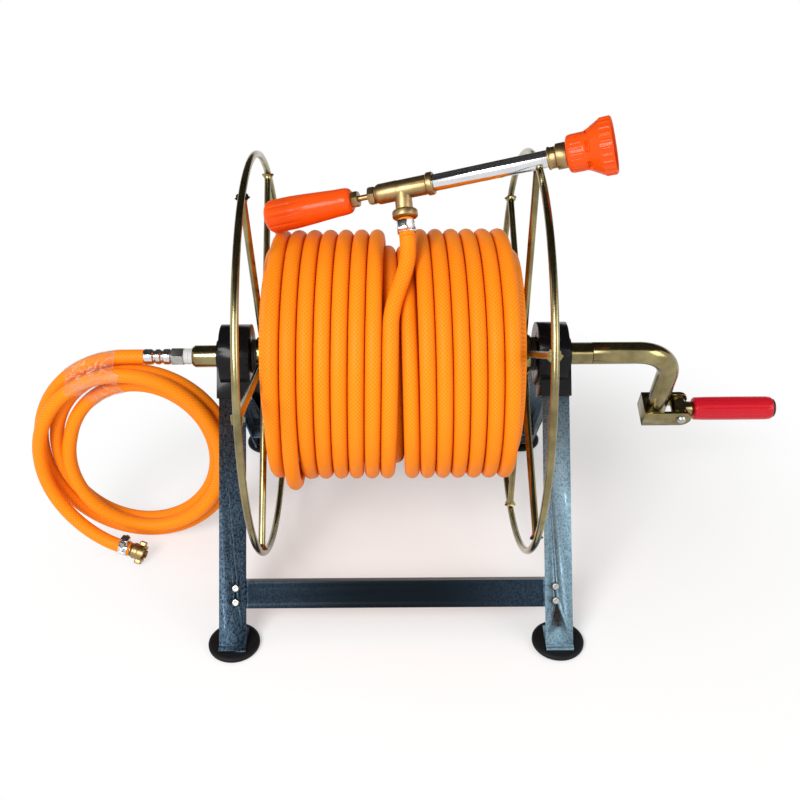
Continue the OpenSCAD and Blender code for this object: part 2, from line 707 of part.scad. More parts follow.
loop_a = loop_w / 2;
loop_b = (axle_h - hose_d / 2 - fit + loop_step / 2) / 2;
loop_x = hose_exit_x - loop_start;
loop_z = axle_h - loop_b;
loop_turn_at = 2.2;    // turns after which the loops stop going in
loop_out_rate = 1.8;   // how much faster they come out again
loop_end = 3.25;       // turns after which the tail starts
tail_stop = [hose_exit_x - 35, -44, 13.4];
tail_yaw = 16;
tail_drop = 10;
tail_dir = turn_z(turn_y([1, 0, 0], tail_drop), -tail_yaw);

function loop_in(s) = loop_step * (s < loop_turn_at ? s
  : loop_turn_at - loop_out_rate * (s - loop_turn_at));
function loop_point(s) = let (a = 360 * s, d = loop_in(s))
  [loop_x - (loop_a - d) * sin(a),
   -loop_lean * (1 - cos(a)) / 2 - loop_layer * smooth((s - 1.95) / 0.5),
   loop_z + (loop_b - d) * cos(a)];
tail_start_point = loop_point(loop_end);
tail_start_dir = unit(loop_point(loop_end) - loop_point(loop_end - 0.01));
tail_n = 8;
loop_n = floor(loop_end * rings_per_turn);
inlet_path = concat(
  [[hose_exit_x - fit, 0, axle_h]],
  [for (i = [0:loop_n]) loop_point(loop_end * i / loop_n)],
  [for (i = [1:tail_n - 1]) bezier(tail_start_point, tail_start_point + 50 * tail_start_dir,
    tail_stop - 50 * tail_dir, tail_stop - hose_d * tail_dir, i / (tail_n - 1))],
  [tail_stop]);
echo(supply_gap = self_gap(inlet_path, 12, hose_d), supply_length = path_length(inlet_path));

module inlet_hose() {
  color("#ff9a22") tube_along(inlet_path, hose_d / 2, 6, function (i) [0, 1, 0]);
}

// Clear wrap that ties the loops together
module hose_tie() {
  a = 24;
  w = 2 * loop_step + hose_d + 3;
  h = loop_layer + hose_d + 2.4;
  wall = 0.5;
  color("#f2c9a0") translate([loop_x - loop_a * sin(a), -loop_layer / 2 - loop_lean * (1 - cos(a)) / 2,
    loop_z + loop_b * cos(a)]) rotate([0, 90 - a, 0]) translate([loop_step * (a / 360 + 1), 0, -8])
      linear_extrude(16) difference() {
        round_box(w + 2 * wall, h + 2 * wall, 7.6);
        round_box(w, h, 7.1);
      }
}

module round_box(w, h, r) {
  square([w - 2 * r, h], center = true);
  square([w, h - 2 * r], center = true);
  for (x = [-1, 1], y = [-1, 1]) translate([x * (w / 2 - r), y * (h / 2 - r)]) circle(r = r);
}

// Frame of the supply hose's end: origin at the hose's end, +X the way that the coupling points
module on_tail() { translate(tail_stop) rotate([0, tail_drop, -tail_yaw]) children(); }

clamp_w = 9;
clamp_t = 0.8;

// Worm-drive clamp: band and housing, closed round a hose along X, screw above it
module clamp_band() {
  r = hose_d / 2 + fit;
  difference() {
    union() {
      rod_x(-clamp_w / 2, clamp_w / 2, r + clamp_t);
      translate([-clamp_w / 2, -4.5, r - 0.4]) cube([clamp_w, 9, 6]);
    }
    rod_x(-clamp_w, clamp_w, r);
    translate([0, -10, r + 3.4]) rotate([-90, 0, 0]) cylinder(r = 2.2 + pressed, h = 20);
  }
}

module clamp_screw() {
  translate([0, 0, hose_d / 2 + fit + 3.4]) rotate([-90, 0, 0]) difference() {
    union() {
      translate([0, 0, -6]) cylinder(r = 2.2, h = 12);
      translate([0, 0, -9]) cylinder(r = 3.6, h = 3, $fn = 6);
      translate([0, 0, -6.2]) cylinder(r = 4.2, h = 0.8);
    }
    translate([-2.6, -0.4, -9 - past]) cube([5.2, 0.8, 1 + past]);
  }
}

module inlet_clamp() { color("#c9cdd0") on_tail() translate([-6.5, 0, 0]) clamp_band(); }

module inlet_clamp_screw() { color("#dfe2e4") on_tail() translate([-6.5, 0, 0]) clamp_screw(); }

// Barbed tail of the supply coupling, from the hose's end to the flange that the nut turns on
module inlet_tail() {
  color("#b8944c") on_tail() turned([[water_r, fit], [hose_d / 2, fit], [hose_d / 2, 1.6],
    [4.6, 1.6], [4.6, 4.2], [5.6, 4.2], [5.6, 6.4], [water_r, 6.4]]);
}

// Lugged nut that turns on the tail and screws onto the water supply
module inlet_coupling() {
  r = coupling_d / 2;
  x0 = 1.6 + fit;
  color("#bf9a50") on_tail() difference() {
    union() {
      turned([[0, x0], [r - 1, x0], [r, x0 + 1.5], [r, x0 + coupling_l], [0, x0 + coupling_l]]);
      for (a = [0, 180]) rotate([a - 40, 0, 0])
        translate([x0 + coupling_l * 0.4, -2.6, r - 1]) cube([coupling_l * 0.5, 5.2, 4.6]);
    }
    rod_x(x0 - past, x0 + coupling_l + past, 4.6 + running);
    rod_x(4.2 - running, 7, 5.6 + running);
    rod_x(x0 + coupling_l - 9, x0 + coupling_l + past, coupling_bore / 2);
  }
}

// ---------------------------------------------------------------- lance

// The lance's own frame: origin where the tube lies on the wheel, +X towards the nozzle
module on_lance() { translate(lance_rest) rotate([0, 0, -lance_yaw]) rotate([0, -lance_pitch, 0])
  children(); }

// The branch's frame: +X out along the branch, +Y towards the front and up
module on_branch() { on_lance() translate([branch_s, 0, 0]) rotate([-branch_turn, 0, 0])
  rotate([0, 90, 0]) rotate([180, 0, 0]) children(); }

tube_wall = 1.2;
tube_seat = 14;
gland_d = 16;

module lance_body() {
  r = body_d / 2;
  b = body_back;
  f = body_front;
  color("#b59450") on_lance() difference() {
    union() {
      turned([[0, b], [r - 1.8, b], [r - 0.2, b + 3], [r, b + 4], [r, b + 20], [r - 0.3, b + 21],
        [r - 0.3, f - 6], [r + 1, f - 5], [r + 1, f - 1], [r + 0.3, f], [0, f]]);
      translate([branch_s, 0, 0]) rotate([-branch_turn, 0, 0]) rotate([180, 0, 0])
        cylinder(r = 7.4, h = tail_start + 1);
    }
    rod_x(b - past, f + past, valve_rod_d / 2 + running);
    rod_x(f - branch_back - 10, f + past, tube_d / 2 - tube_wall);
    rod_x(f - tube_seat, f + past, tube_d / 2 + pressed);
    translate([branch_s, 0, 0]) rotate([-branch_turn, 0, 0]) rotate([180, 0, 0])
      cylinder(r = water_r, h = tail_start + 2 * past);
  }
}

module lance_tube() {
  color("#d4d6da") on_lance() pipe_x(body_front - tube_seat + fit, tube_front + 5, tube_d / 2,
    tube_d / 2 - tube_wall);
}

module gland_nut() {
  color("#c4a25a") on_lance() difference() {
    hex_x(gland_back, body_back - fit, gland_d - 2);
    rod_x(gland_back - past, body_back + past, valve_rod_d / 2 + running);
  }
}

// Rod that opens and shuts the valve inside the body
module valve_rod() {
  tip = body_front - branch_back - 8;
  color("#c9aa62") on_lance() turned([[0, handle_front - 8], [valve_rod_d / 2, handle_front - 8],
    [valve_rod_d / 2, tip - 3], [0.8, tip], [0, tip]]);
}

module rod_nut() {
  color("#a88d4e") on_lance() difference() {
    hex_x(handle_front + fit, handle_front + rod_nut_l, 12.5);
    rod_x(handle_front - past, handle_front + rod_nut_l + past, valve_rod_d / 2 + running);
  }
}

module lance_handle() {
  r0 = lance_handle_d / 2;
  r1 = lance_handle_front_d / 2;
  l = lance_handle_l;
  flute_r = 1.6;
  flute_n = 10;
  color("#f4511e") on_lance() translate([handle_back, 0, 0]) difference() {
    turned([[0, 0], [r0 - 3, 0], [r0 - 0.6, 2.5], [r0, 6], [r0, l * 0.3],
      [r0 - (r0 - r1) * 0.45, l * 0.62], [r1 + 0.4, l - 8], [r1, l - 4], [r1 - 1, l - 1.5],
      [r1 - 3, l], [0, l]]);
    for (k = [0:flute_n - 1]) rotate([k * 360 / flute_n, 0, 0])
      translate([-past, 0, r0 + flute_r * 0.35]) rod_x(0, l * 0.42, flute_r);
    rod_x(l - 9, l + past, valve_rod_d / 2 + pressed);
  }
}

// Stepped brass piece between the tube and the nozzle
module lance_adapter() {
  f = tube_front + fit;
  b = bell_back;
  color("#bb9a55") on_lance() difference() {
    turned([[0, f], [9, f], [9.5, f + 0.8], [9.5, f + 1.6], [8.8, f + 2.2], [8.8, collar_front],
      [10.6, collar_front + 0.8], [10.6, b], [8.4, b], [8.4, b + 16], [0, b + 16]]);
    rod_x(f - past, f + 5 + past, tube_d / 2 + pressed);
    rod_x(f, b + 16 + past, water_r + 1);
  }
}

module nozzle_bell() {
  n = bell_neck_d / 2;
  r = bell_d / 2;
  w = bell_wall;
  b = bell_back + fit;
  l = bell_l;
  color("#ff5722") on_lance() translate([b, 0, 0]) difference() {
    union() {
      turned([[0, 0], [n - 2.5, 0], [n - 0.6, 1.2], [n, 3.5], [n - 0.3, l * 0.46],
        [n + 0.8, l * 0.54], [r - 2.2, l * 0.8], [r - 0.9, l * 0.85], [r - 0.9, l], [0, l]]);
      for (k = [0:bell_rib_n - 1]) rotate([(k + 0.5) * 360 / bell_rib_n, 0, 0])
        translate([l * 0.83, -0.9, r - 2.6]) cube([l * 0.15, 1.8, 2.6]);
    }
    rod_x(-past, l + past, 8.4 + running);
    turned([[0, 15.4], [n - w, 15.4], [n - w, l * 0.48], [r - w - 2.6, l * 0.84],
      [r - w - 1.4, l + past], [0, l + past]]);
  }
}

// Jet disc on the adapter's front, inside the bell
module nozzle_insert() {
  b = bell_back + 16 + fit;
  color("#caa75e") on_lance() difference() {
    turned([[0, b], [9.5, b], [9.5, b + 3], [6, b + 5], [0, b + 5]]);
    rod_x(b - past, b + 5 + past, 1.1);
    for (a = [0:60:359]) rotate([a, 0, 0]) translate([0, 0, 5.2])
      rod_x(b - past, b + 5 + past, 0.9);
  }
}

module branch_nut() {
  color("#c8a75f") on_branch() difference() {
    turned([[0, 18.4], [9.6, 18.4], [11, 19.6], [11, 24.4], [9.6, 25.6], [0, 25.6]]);
    rod_x(0, 40, 4.6 + pressed);
  }
}

module lance_tail() {
  color("#b08f4a") on_branch() difference() {
    turned([[0, 18 + fit], [4.6, 18 + fit], [4.6, hose_end_start], [4.3, hose_end_start],
      [4.3, hose_end_stop - 4], [3.6, hose_end_stop - 2], [0, hose_end_stop - 2]]);
    rod_x(0, 60, 2.6);
  }
}

// The hose's outer end on the lance's tail, under its clamp
module lance_hose_end() {
  color("#ff9020") on_branch() difference() {
    rod_x(hose_end_start, hose_end_stop, hose_d / 2);
    rod_x(hose_end_start - past, hose_end_stop + past, 4.4);
  }
}

// The clamp's housing faces the front, with its screw's head to the right
module on_lance_clamp() { on_branch() translate([hose_end_start + 8, 0, 0])
  rotate([-90, 0, 0]) rotate([0, 0, 180]) children(); }

module lance_clamp() { color("#d3d6d8") on_lance_clamp() clamp_band(); }

module lance_clamp_screw() { color("#e4e6e8") on_lance_clamp() clamp_screw(); }

// ---------------------------------------------------------------- nodes

at_origin() bracket(-1);  // bracket_left
at_origin() bracket(1);  // bracket_right
at_origin() leg(-1, -1);  // leg_front_left
at_origin() leg(1, -1);  // leg_front_right
at_origin() leg(-1, 1);  // leg_rear_left
at_origin() leg(1, 1);  // leg_rear_right
at_origin() crossbar(-1);  // crossbar_front
at_origin() crossbar(1);  // crossbar_rear
at_origin() bar_screws();
at_origin() bar_nuts();
at_origin() rivets();
at_origin() foot(-1, -1);  // foot_front_left
at_origin() foot(1, -1);  // foot_front_right
at_origin() foot(-1, 1);  // foot_rear_left
at_origin() foot(1, 1);  // foot_rear_right
at_origin() bushes();
at_origin() axle_pipe();
at_origin() thrust_washers();
at_origin() wheel_hubs();
at_origin() spokes(-1, spoke_turn_left);  // spokes_left
at_origin() spokes(1, spoke_turn_right);  // spokes_right
at_origin() rim(-1);  // rim_left
at_origin() rim(1);  // rim_right
at_origin() drum_barrel();
at_origin() hose_core();
at_origin() hose_winding();
at_origin() outlet_tail();
at_origin() inner_lead();
at_origin() crank_spigot();
at_origin() crank_pipe();
at_origin() crank_clevis();
at_origin() crank_pin();
at_origin() handle_rod();
at_origin() grip();
at_origin() grip_cap();
at_origin() swivel_nipple();
at_origin() swivel_seals();
at_origin() union_nut();
at_origin() inlet_ferrule();
at_origin() inlet_hose();
at_origin() hose_tie();
at_origin() inlet_clamp();
at_origin() inlet_clamp_screw();
at_origin() inlet_tail();
at_origin() inlet_coupling();
at_origin() lance_body();
at_origin() lance_tube();
at_origin() gland_nut();
at_origin() valve_rod();
at_origin() rod_nut();
at_origin() lance_handle();
at_origin() lance_adapter();
at_origin() nozzle_bell();
at_origin() nozzle_insert();
at_origin() branch_nut();
at_origin() lance_tail();
at_origin() lance_hose_end();
at_origin() lance_clamp();
at_origin() lance_clamp_screw();
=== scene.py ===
# %% [markdown]
# A reel for spray hose: an A-frame stand, a drum of two wire wheels, a wound orange hose, a crank,
# a coiled supply hose at the water inlet, and a spray lance laid across the top.
# The solid parts come from a finished model, so this lesson dresses them: it makes the hoses, the
# clamps, the plastic grips and the finishes, and leaves each part exactly where the model has it.

# %% Load the solid parts
import json
import math
import bmesh
import bpy
import numpy as np
from mathutils import Matrix


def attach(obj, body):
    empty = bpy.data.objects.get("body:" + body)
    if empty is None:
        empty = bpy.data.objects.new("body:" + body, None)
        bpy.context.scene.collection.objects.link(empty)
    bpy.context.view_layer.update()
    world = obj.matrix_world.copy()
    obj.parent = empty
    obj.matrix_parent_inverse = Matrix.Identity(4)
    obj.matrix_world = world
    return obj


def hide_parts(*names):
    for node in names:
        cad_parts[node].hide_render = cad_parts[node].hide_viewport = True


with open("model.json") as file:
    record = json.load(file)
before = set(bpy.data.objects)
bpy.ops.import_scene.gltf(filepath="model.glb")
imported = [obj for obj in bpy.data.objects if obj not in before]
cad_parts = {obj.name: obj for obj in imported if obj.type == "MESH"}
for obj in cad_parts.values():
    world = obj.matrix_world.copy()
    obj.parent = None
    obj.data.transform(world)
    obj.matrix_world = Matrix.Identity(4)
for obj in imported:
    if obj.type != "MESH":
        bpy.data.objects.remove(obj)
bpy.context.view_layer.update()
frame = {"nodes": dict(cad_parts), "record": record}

nodes, record = frame["nodes"], frame["record"]
body_of = {node: body for body, held in record["behaviour"]["bodies"].items() for node in held}
slot_of = {part["node"]: part["material_slot"] for part in record["subparts"]}

# %% [markdown]
# Lengths on this reel are easiest to think of in millimetres from its middle plane, with the floor
# at zero. Blender works in metres, in the model's own frame, so one small function converts.

# %% Reel millimetres to model metres
MIDDLE = 75.4


def at(x, y, z):
    """Metres in the model's frame of a point given in millimetres from the reel's middle plane."""
    return np.stack(np.broadcast_arrays((np.asarray(x, float) - MIDDLE) / 1000,
                                        np.asarray(y, float) / 1000, np.asarray(z, float) / 1000), -1)


def at_all(points):
    """The same for an array of points, whose last axis holds x, y and z."""
    return at(*np.moveaxis(points, -1, 0))


AXLE_HEIGHT = 217.0
print("axle's middle:", at(0, 0, AXLE_HEIGHT))

# %% [markdown]
# The camera looks down on the reel from the front. Its lens is given for a 36 mm wide sensor, as a
# focal length in widths of the picture, and its turn as three directions: right, down and ahead.

# %% The camera
SENSOR, FOCAL_WIDTHS = 36, 986.37 / 800
CAMERA_PLACE = (-4.737, -806.362, 694.14)
lens_data = bpy.data.cameras.new("camera")
lens_data.sensor_width = SENSOR
lens_data.lens = FOCAL_WIDTHS * SENSOR
lens_data.shift_x, lens_data.shift_y = 0.0212, 0.0220
camera = bpy.data.objects.new("camera", lens_data)
bpy.context.scene.collection.objects.link(camera)
right, down, ahead = np.array([[0.999952, 0.000742, -0.009755], [-0.007645, -0.562907, -0.826485],
                               [-0.006104, 0.826520, -0.562875]])
place = np.eye(4)
place[:3, 0], place[:3, 1], place[:3, 2] = right, -down, -ahead
place[:3, 3] = at(*CAMERA_PLACE)
camera.matrix_world = Matrix(place.tolist())
bpy.context.scene.camera = camera
print("lens:", round(lens_data.lens, 1), "mm")

# %% [markdown]
# Most shapes here are a sheet of points in rows and columns. A function works out all the points at
# once with numpy, and this helper turns them into faces. It also stores how far along and how far
# round each point is, which is what a braided or striped finish needs to follow a bent tube.

# %% Surfaces from grids of points
finished = {}


def show(name, mesh, *stands_for, like=None, sharp=35):
    """Puts a mesh in the scene as a piece in place of some solid parts, or beside the one it is like,
    so that it moves with that part's body and takes the same kind of finish."""
    mesh.shade_smooth()
    mesh.set_sharp_from_angle(angle=math.radians(sharp))
    piece = bpy.data.objects.new(name, mesh)
    bpy.context.scene.collection.objects.link(piece)
    model = like or stands_for[0]
    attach(piece, body_of[model])
    if stands_for:
        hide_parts(*stands_for)
    finished[name] = slot_of[model]
    return piece


def grid_faces(points, start, along):
    """Corner numbers and along-round values of the four-sided faces between rows of points.

    Point (i, j) is number start + i * columns + j, and the last column joins the first.
    """
    rows, columns = points.shape[:2]
    number = start + np.arange(rows * columns).reshape(rows, columns)
    beside = np.roll(number, -1, axis=1)
    faces = np.stack([number[:-1], beside[:-1], beside[1:], number[1:]], -1).reshape(-1, 4)
    u0, u1 = np.repeat(along[:-1], columns), np.repeat(along[1:], columns)
    v0 = np.tile(np.arange(columns) / columns, rows - 1)
    v1 = v0 + 1 / columns
    return faces, np.stack([u0, v0, u0, v1, u1, v1, u1, v0], -1).reshape(-1, 2)


def surface(name, sheets, caps=True, along=None, rounds=1.0):
    """One mesh from one or more grids of points: caps closes the first and last row of each, along
    says how far along the finish each row is, and rounds how often it repeats round a row."""
    corners, faces, uvs, lids, start = [], [], [], [], 0
    for points in sheets:
        rows, columns = points.shape[:2]
        made, uv = grid_faces(points, start, np.arange(rows) / rows if along is None else along)
        if caps:
            lids.append((start + np.arange(columns))[::-1].tolist())
            lids.append((start + (rows - 1) * columns + np.arange(columns)).tolist())
        corners.append(points.reshape(-1, 3))
        faces.append(made)
        uvs.append(uv * (1, rounds))
        start += rows * columns
    mesh = bpy.data.meshes.new(name)
    mesh.from_pydata(np.concatenate(corners), [], np.concatenate(faces).tolist() + lids)
    layer = mesh.uv_layers.new(name="UVMap")
    flat = np.zeros((len(mesh.loops), 2), np.float32)
    ready = np.concatenate(uvs)
    flat[:len(ready)] = ready
    layer.data.foreach_set("uv", flat.ravel())
    mesh.update()
    return mesh


def tidy(mesh, distance):
    """Merges points that lie on each other, and turns every face outwards."""
    shape = bmesh.new()
    shape.from_mesh(mesh)
    bmesh.ops.remove_doubles(shape, verts=shape.verts, dist=distance)
    bmesh.ops.dissolve_degenerate(shape, edges=shape.edges, dist=distance / 2)
    bmesh.ops.recalc_face_normals(shape, faces=shape.faces)
    shape.to_mesh(mesh)
    shape.free()
    mesh.update()
    return mesh


def made_of(name, sheets, *stands_for, like=None, sharp=35, merge=1e-6, **how):
    """A piece from grids of points: their surface, tidied, and shown in place of solid parts."""
    return show(name, tidy(surface(name, sheets, **how), merge), *stands_for, like=like, sharp=sharp)


def unit(v):
    """Vectors of length one."""
    return v / np.linalg.norm(v, axis=-1, keepdims=True)


def tube(path, radius, sides, up):
    """Rings across a path: ring = path + radius (cos a · across + sin a · over), with a from 0 to a
    full turn, across = the path's direction crossed with up, and over square to both."""
    ahead_of = unit(np.gradient(path, axis=0))
    across = unit(np.cross(ahead_of, up))
    over = np.cross(across, ahead_of)
    a = np.arange(sides) / sides * 2 * np.pi
    radius = np.broadcast_to(radius, len(path))[:, None, None]
    return (path[:, None] + radius * (np.cos(a)[None, :, None] * across[:, None]
                                      + np.sin(a)[None, :, None] * over[:, None]))


def distance_along(path):
    """How far along a path each of its points is."""
    return np.concatenate([[0], np.cumsum(np.linalg.norm(np.diff(path, axis=0), axis=1))])


def ease(t):
    """Rises smoothly from 0 to 1 as t does: 3 t² − 2 t³."""
    t = np.clip(t, 0, 1)
    return t * t * (3 - 2 * t)


def bezier(a, b, c, d, t):
    """A curve from a to d that leaves towards b and arrives from c."""
    t = np.asarray(t)[:, None]
    return (1 - t) ** 3 * a + 3 * t * (1 - t) ** 2 * b + 3 * t * t * (1 - t) * c + t ** 3 * d


# %% [markdown]
# The supply hose leaves its crimped ferrule, hangs in three loops that touch the floor, climbs to
# the front layer as it turns outwards, and ends at a brass coupling. It could be drawn by hand, but
# one formula keeps the loops apart and can't kink: an oval spiral, whose two half-widths shrink by
# one step per turn and then grow again. HOSE is its thickness, and FIT is the gap that is left
# wherever one thing is fitted to another.

# %% The supply hose's route
HOSE, FIT = 13.9, 0.3
HOSE_EXIT = -236.3
LOOP_TURNS, WIDEST, LOOP_STEP = 3.25, 102.0, 15.3
TALLEST = (AXLE_HEIGHT - HOSE / 2 - FIT + LOOP_STEP / 2) / 2
LOOP_X, LOOP_Z = HOSE_EXIT - 19, AXLE_HEIGHT - TALLEST
SHRINKS, GROWS_BY = 2.2, 1.8


def loop_point(turns):
    """A point of the hanging loops after some turns from the top, towards the left and down: the
    half-widths shrink by a step per turn for SHRINKS turns, then grow by GROWS_BY steps per turn.
    Each loop leans 4 mm forward at its foot, and the last one comes 15.2 mm further forward."""
    turns = np.asarray(turns, float)
    a = 2 * np.pi * turns
    drawn_in = LOOP_STEP * np.where(turns < SHRINKS, turns, SHRINKS - GROWS_BY * (turns - SHRINKS))
    return np.stack([LOOP_X - (WIDEST - drawn_in) * np.sin(a),
                     -4 * (1 - np.cos(a)) / 2 - 15.2 * ease((turns - 1.95) / 0.5),
                     LOOP_Z + (TALLEST - drawn_in) * np.cos(a)], -1)


TAIL_YAW, TAIL_DROP = 16, 10
yaw, drop = math.radians(TAIL_YAW), math.radians(TAIL_DROP)
tail_ahead = np.array([math.cos(yaw) * math.cos(drop), -math.sin(yaw) * math.cos(drop),
                       -math.sin(drop)])
tail_stop = np.array([HOSE_EXIT - 35, -44, 13.4])
loops = loop_point(np.linspace(0, LOOP_TURNS, 420))
leaving = unit(loop_point(LOOP_TURNS) - loop_point(LOOP_TURNS - 0.01))
last_bend = bezier(loops[-1], loops[-1] + 50 * leaving, tail_stop - 50 * tail_ahead,
                   tail_stop - HOSE * tail_ahead, np.linspace(0, 1, 28)[1:])
supply = at_all(np.concatenate([
    [[HOSE_EXIT - FIT, 0, AXLE_HEIGHT], [HOSE_EXIT - 7, 0, AXLE_HEIGHT]], loops, last_bend,
    [tail_stop - 7 * tail_ahead, tail_stop]]))

# %% [markdown]
# The wound hose is one long tube, of which about sixteen turns lie side by side. It runs from the
# crank side to the left end, dives one layer on its way, climbs on itself at the end, and comes back
# to the middle, where it leaves towards the lance. One turn near the left end sags a little. The
# route is worked out and not drawn: with one pitch for all, the turns lie side by side.

# %% The wound hose's route
PITCH, WOUND_RADIUS, LAYER = 14.4, 117 - HOSE / 2, 14.7
FIRST_X, LAST_X, LEAD_X, SPARE = 106.0, -110.0, -2.8, 4.0
STAY, AFTER_DIVE, SAG_TURN, SAG = 0.3, 16.25, 16.65, 10.5
LOWER_TURNS = (FIRST_X - LAST_X - SPARE) / PITCH
ALL_TURNS = LOWER_TURNS + STAY + (LEAD_X - LAST_X) / PITCH
LEAD_ANGLE = 48.0


def wound_point(turns):
    """A point of the winding after some turns: its place along the axle moves one pitch per turn,
    and its distance from the axle drops one layer, stays there, and climbs back."""
    turns = np.asarray(turns, float)
    x = np.where(turns < LOWER_TURNS,
                 FIRST_X - PITCH * turns - SPARE * ease((turns - LOWER_TURNS + 1) / 0.9),
                 LAST_X + PITCH * np.maximum(0, turns - LOWER_TURNS - STAY))
    away = (WOUND_RADIUS - LAYER * ease((turns - ALL_TURNS + AFTER_DIVE) / 0.5)
            + LAYER * ease((turns - LOWER_TURNS) / 0.6))
    a = np.radians(LEAD_ANGLE + 360 * (ALL_TURNS - turns))
    sag = np.cos(np.clip((np.mod(np.degrees(a), 360) - 139) / 62, -1, 1) * np.pi / 2) ** 2
    away = away + SAG * sag * (np.abs(turns - SAG_TURN) < 0.5)
    return np.stack([x, -away * np.sin(a), AXLE_HEIGHT + away * np.cos(a)], -1)


def turned(vector, axis, degrees):
    """A vector turned about one axis (0, 1 or 2) by the right-hand rule."""
    c, s = math.cos(math.radians(degrees)), math.sin(math.radians(degrees))
    j, k = (axis + 1) % 3, (axis + 2) % 3
    vector = np.asarray(vector, float)
    out = vector.copy()
    out[..., j] = c * vector[..., j] - s * vector[..., k]
    out[..., k] = s * vector[..., j] + c * vector[..., k]
    return out


def lance_way(vector):
    """A distance on the lance, x along it to the nozzle, turned to the way that the lance lies."""
    return turned(turned(vector, 1, -LANCE_PITCH), 2, -LANCE_YAW)


def on_lance(points):
    """Metres in the model's frame of points given in the lance's own millimetres."""
    return at_all(lance_way(points) + LANCE_REST)


RIM, ROD, WHEEL_X, HOSE_STOP = 185.0, 3.2, 122.0, 42.3
LANCE_PITCH, LANCE_YAW, LANCE_LEAN, LANCE_TUBE = 15.89, 11.4, math.radians(5.6), 7.25
rest_radius = RIM + (ROD + LANCE_TUBE + FIT) / math.cos(math.radians(LANCE_PITCH))
LANCE_REST = np.array([WHEEL_X, -rest_radius * math.sin(LANCE_LEAN),
                       AXLE_HEIGHT + rest_radius * math.cos(LANCE_LEAN)])
BODY_FRONT, BRANCH_TURN = -92.6, 38
BRANCH_ROOT = np.array([BODY_FRONT - 28, 0, 0.0])
branch_out = lance_way(turned([0, 0, -1.0], 0, -BRANCH_TURN))
lead_stop = LANCE_REST + lance_way(BRANCH_ROOT) + HOSE_STOP * branch_out
wound = wound_point(np.linspace(0, ALL_TURNS, 2100))
lead_way = unit(wound_point(ALL_TURNS) - wound_point(ALL_TURNS - 0.01))
lead_end = lead_stop + 2 * branch_out
lead = bezier(wound[-1], wound[-1] + 33 * lead_way, lead_end + 32 * branch_out, lead_end,
              np.linspace(0, 1, 20)[1:])
start_way = unit(wound_point(0.01) - wound_point(0.0))
wound = at_all(np.concatenate([[wound[0] - HOSE * start_way], wound, lead, [lead_stop]]))
wound_length = float(distance_along(wound)[-1])
print("outer layer:", round(wound_length, 2), "m in", round(ALL_TURNS, 2), "turns")

# %% [markdown]
# Each hose is a round section carried along its route. The supply hose hangs free, and the wound
# hose is held by the drum.

# %% The two hoses
def hose_piece(name, path, sides, up, node):
    """A hose along a path, whose finish is measured in metres along it."""
    skin = tube(path, HOSE / 2000, sides, up)
    return show(name, surface(name, [skin], along=distance_along(path)), node)


supply_hose = hose_piece("supply_hose", supply, 20, [0, 1, 0], "inlet_hose")
wound_hose = hose_piece("wound_hose", wound, 16, [1, 0, 0], "hose_winding")
print("faces:", len(supply_hose.data.polygons), len(wound_hose.data.polygons))

# %% [markdown]
# Below the outer turns lie more layers, of which only the flanks show between the spokes. Five more
# layers of tube would cost many faces that nobody sees, so they are one turned shape. Its outline is
# a row of half-circles: a bump for each turn across the width, and one for each layer down both
# flanks.

# %% The inner layers
BARREL = 41.3
DIVE_X = FIRST_X - PITCH * (ALL_TURNS - AFTER_DIVE)
layer_radii = np.linspace(BARREL + HOSE / 2, WOUND_RADIUS - LAYER, 5)


def bump(place, centres):
    """How far a row of round turns stands out at a place: √(R² − d²), with d the distance to the
    nearest of the turns' centres and R a turn's half thickness."""
    d = np.abs(np.asarray(place)[:, None] - np.asarray(centres)[None]).min(1)
    return np.sqrt(np.maximum((HOSE / 2) ** 2 - d * d, 9))


def inner_outline():
    """Places along the axle and radii of the outline, from the barrel round to the barrel again."""
    step = DIVE_X + HOSE + 1.3
    up_left = np.linspace(BARREL, layer_radii[-2], 40)
    low = np.linspace(LAST_X, step - 7.2, 90)
    high = np.linspace(step - 6.9, FIRST_X, 70)
    down_right = np.linspace(layer_radii[-1], BARREL, 48)
    turns_high = FIRST_X - PITCH * np.arange(6)
    turns_low = LAST_X + PITCH * np.arange(10)
    x = np.concatenate([LAST_X - bump(up_left, layer_radii[:-1]), low, high,
                        FIRST_X + bump(down_right, layer_radii), [FIRST_X, LAST_X]])
    r = np.concatenate([up_left, layer_radii[-2] + bump(low, turns_low),
                        layer_radii[-1] + bump(high, turns_high), down_right, [BARREL, BARREL]])
    return x, r


def turned_about_axle(x, r):
    """An outline spun about the axle: (x, −r sin a, axle height + r cos a) for a full turn of a."""
    a = np.linspace(0, 2 * np.pi, 121)[:, None]
    return at(x[None] + 0 * a, -r[None] * np.sin(a), AXLE_HEIGHT + r[None] * np.cos(a))


inner = turned_about_axle(*inner_outline())
made_of("inner_turns", [inner], "hose_core", caps=False, rounds=13,
        along=np.linspace(0, 0.565, len(inner)))
print("inner layers:", [round(r, 1) for r in layer_radii.tolist()], "mm from the axle")

# %% [markdown]
# The wheels are bent and welded from plain rod. A rim is a ring: one circle carried round another.
# The spokes run from the hub to the rim, and a fillet of weld with a rippled skin joins each end.
# Blender's torus and cylinder would do for the rods, but with formulas each one ends just where its
# neighbour begins, and the same rings can flare into a weld.

# %% The wire wheels
HUB, ROD_SIDES = 18.0, 18


def rim_points(x):
    """A ring: at angle a round the wheel the rod's centre is RIM from the axle, and at angle b round
    the rod its skin is ROD from that centre."""
    a = np.linspace(0, 2 * np.pi, 201)[:, None]
    b = (np.arange(ROD_SIDES) / ROD_SIDES * 2 * np.pi)[None]
    r = RIM + ROD * np.cos(b)
    return at(x + ROD * np.sin(b) + 0 * a, -r * np.sin(a), AXLE_HEIGHT + r * np.cos(a))


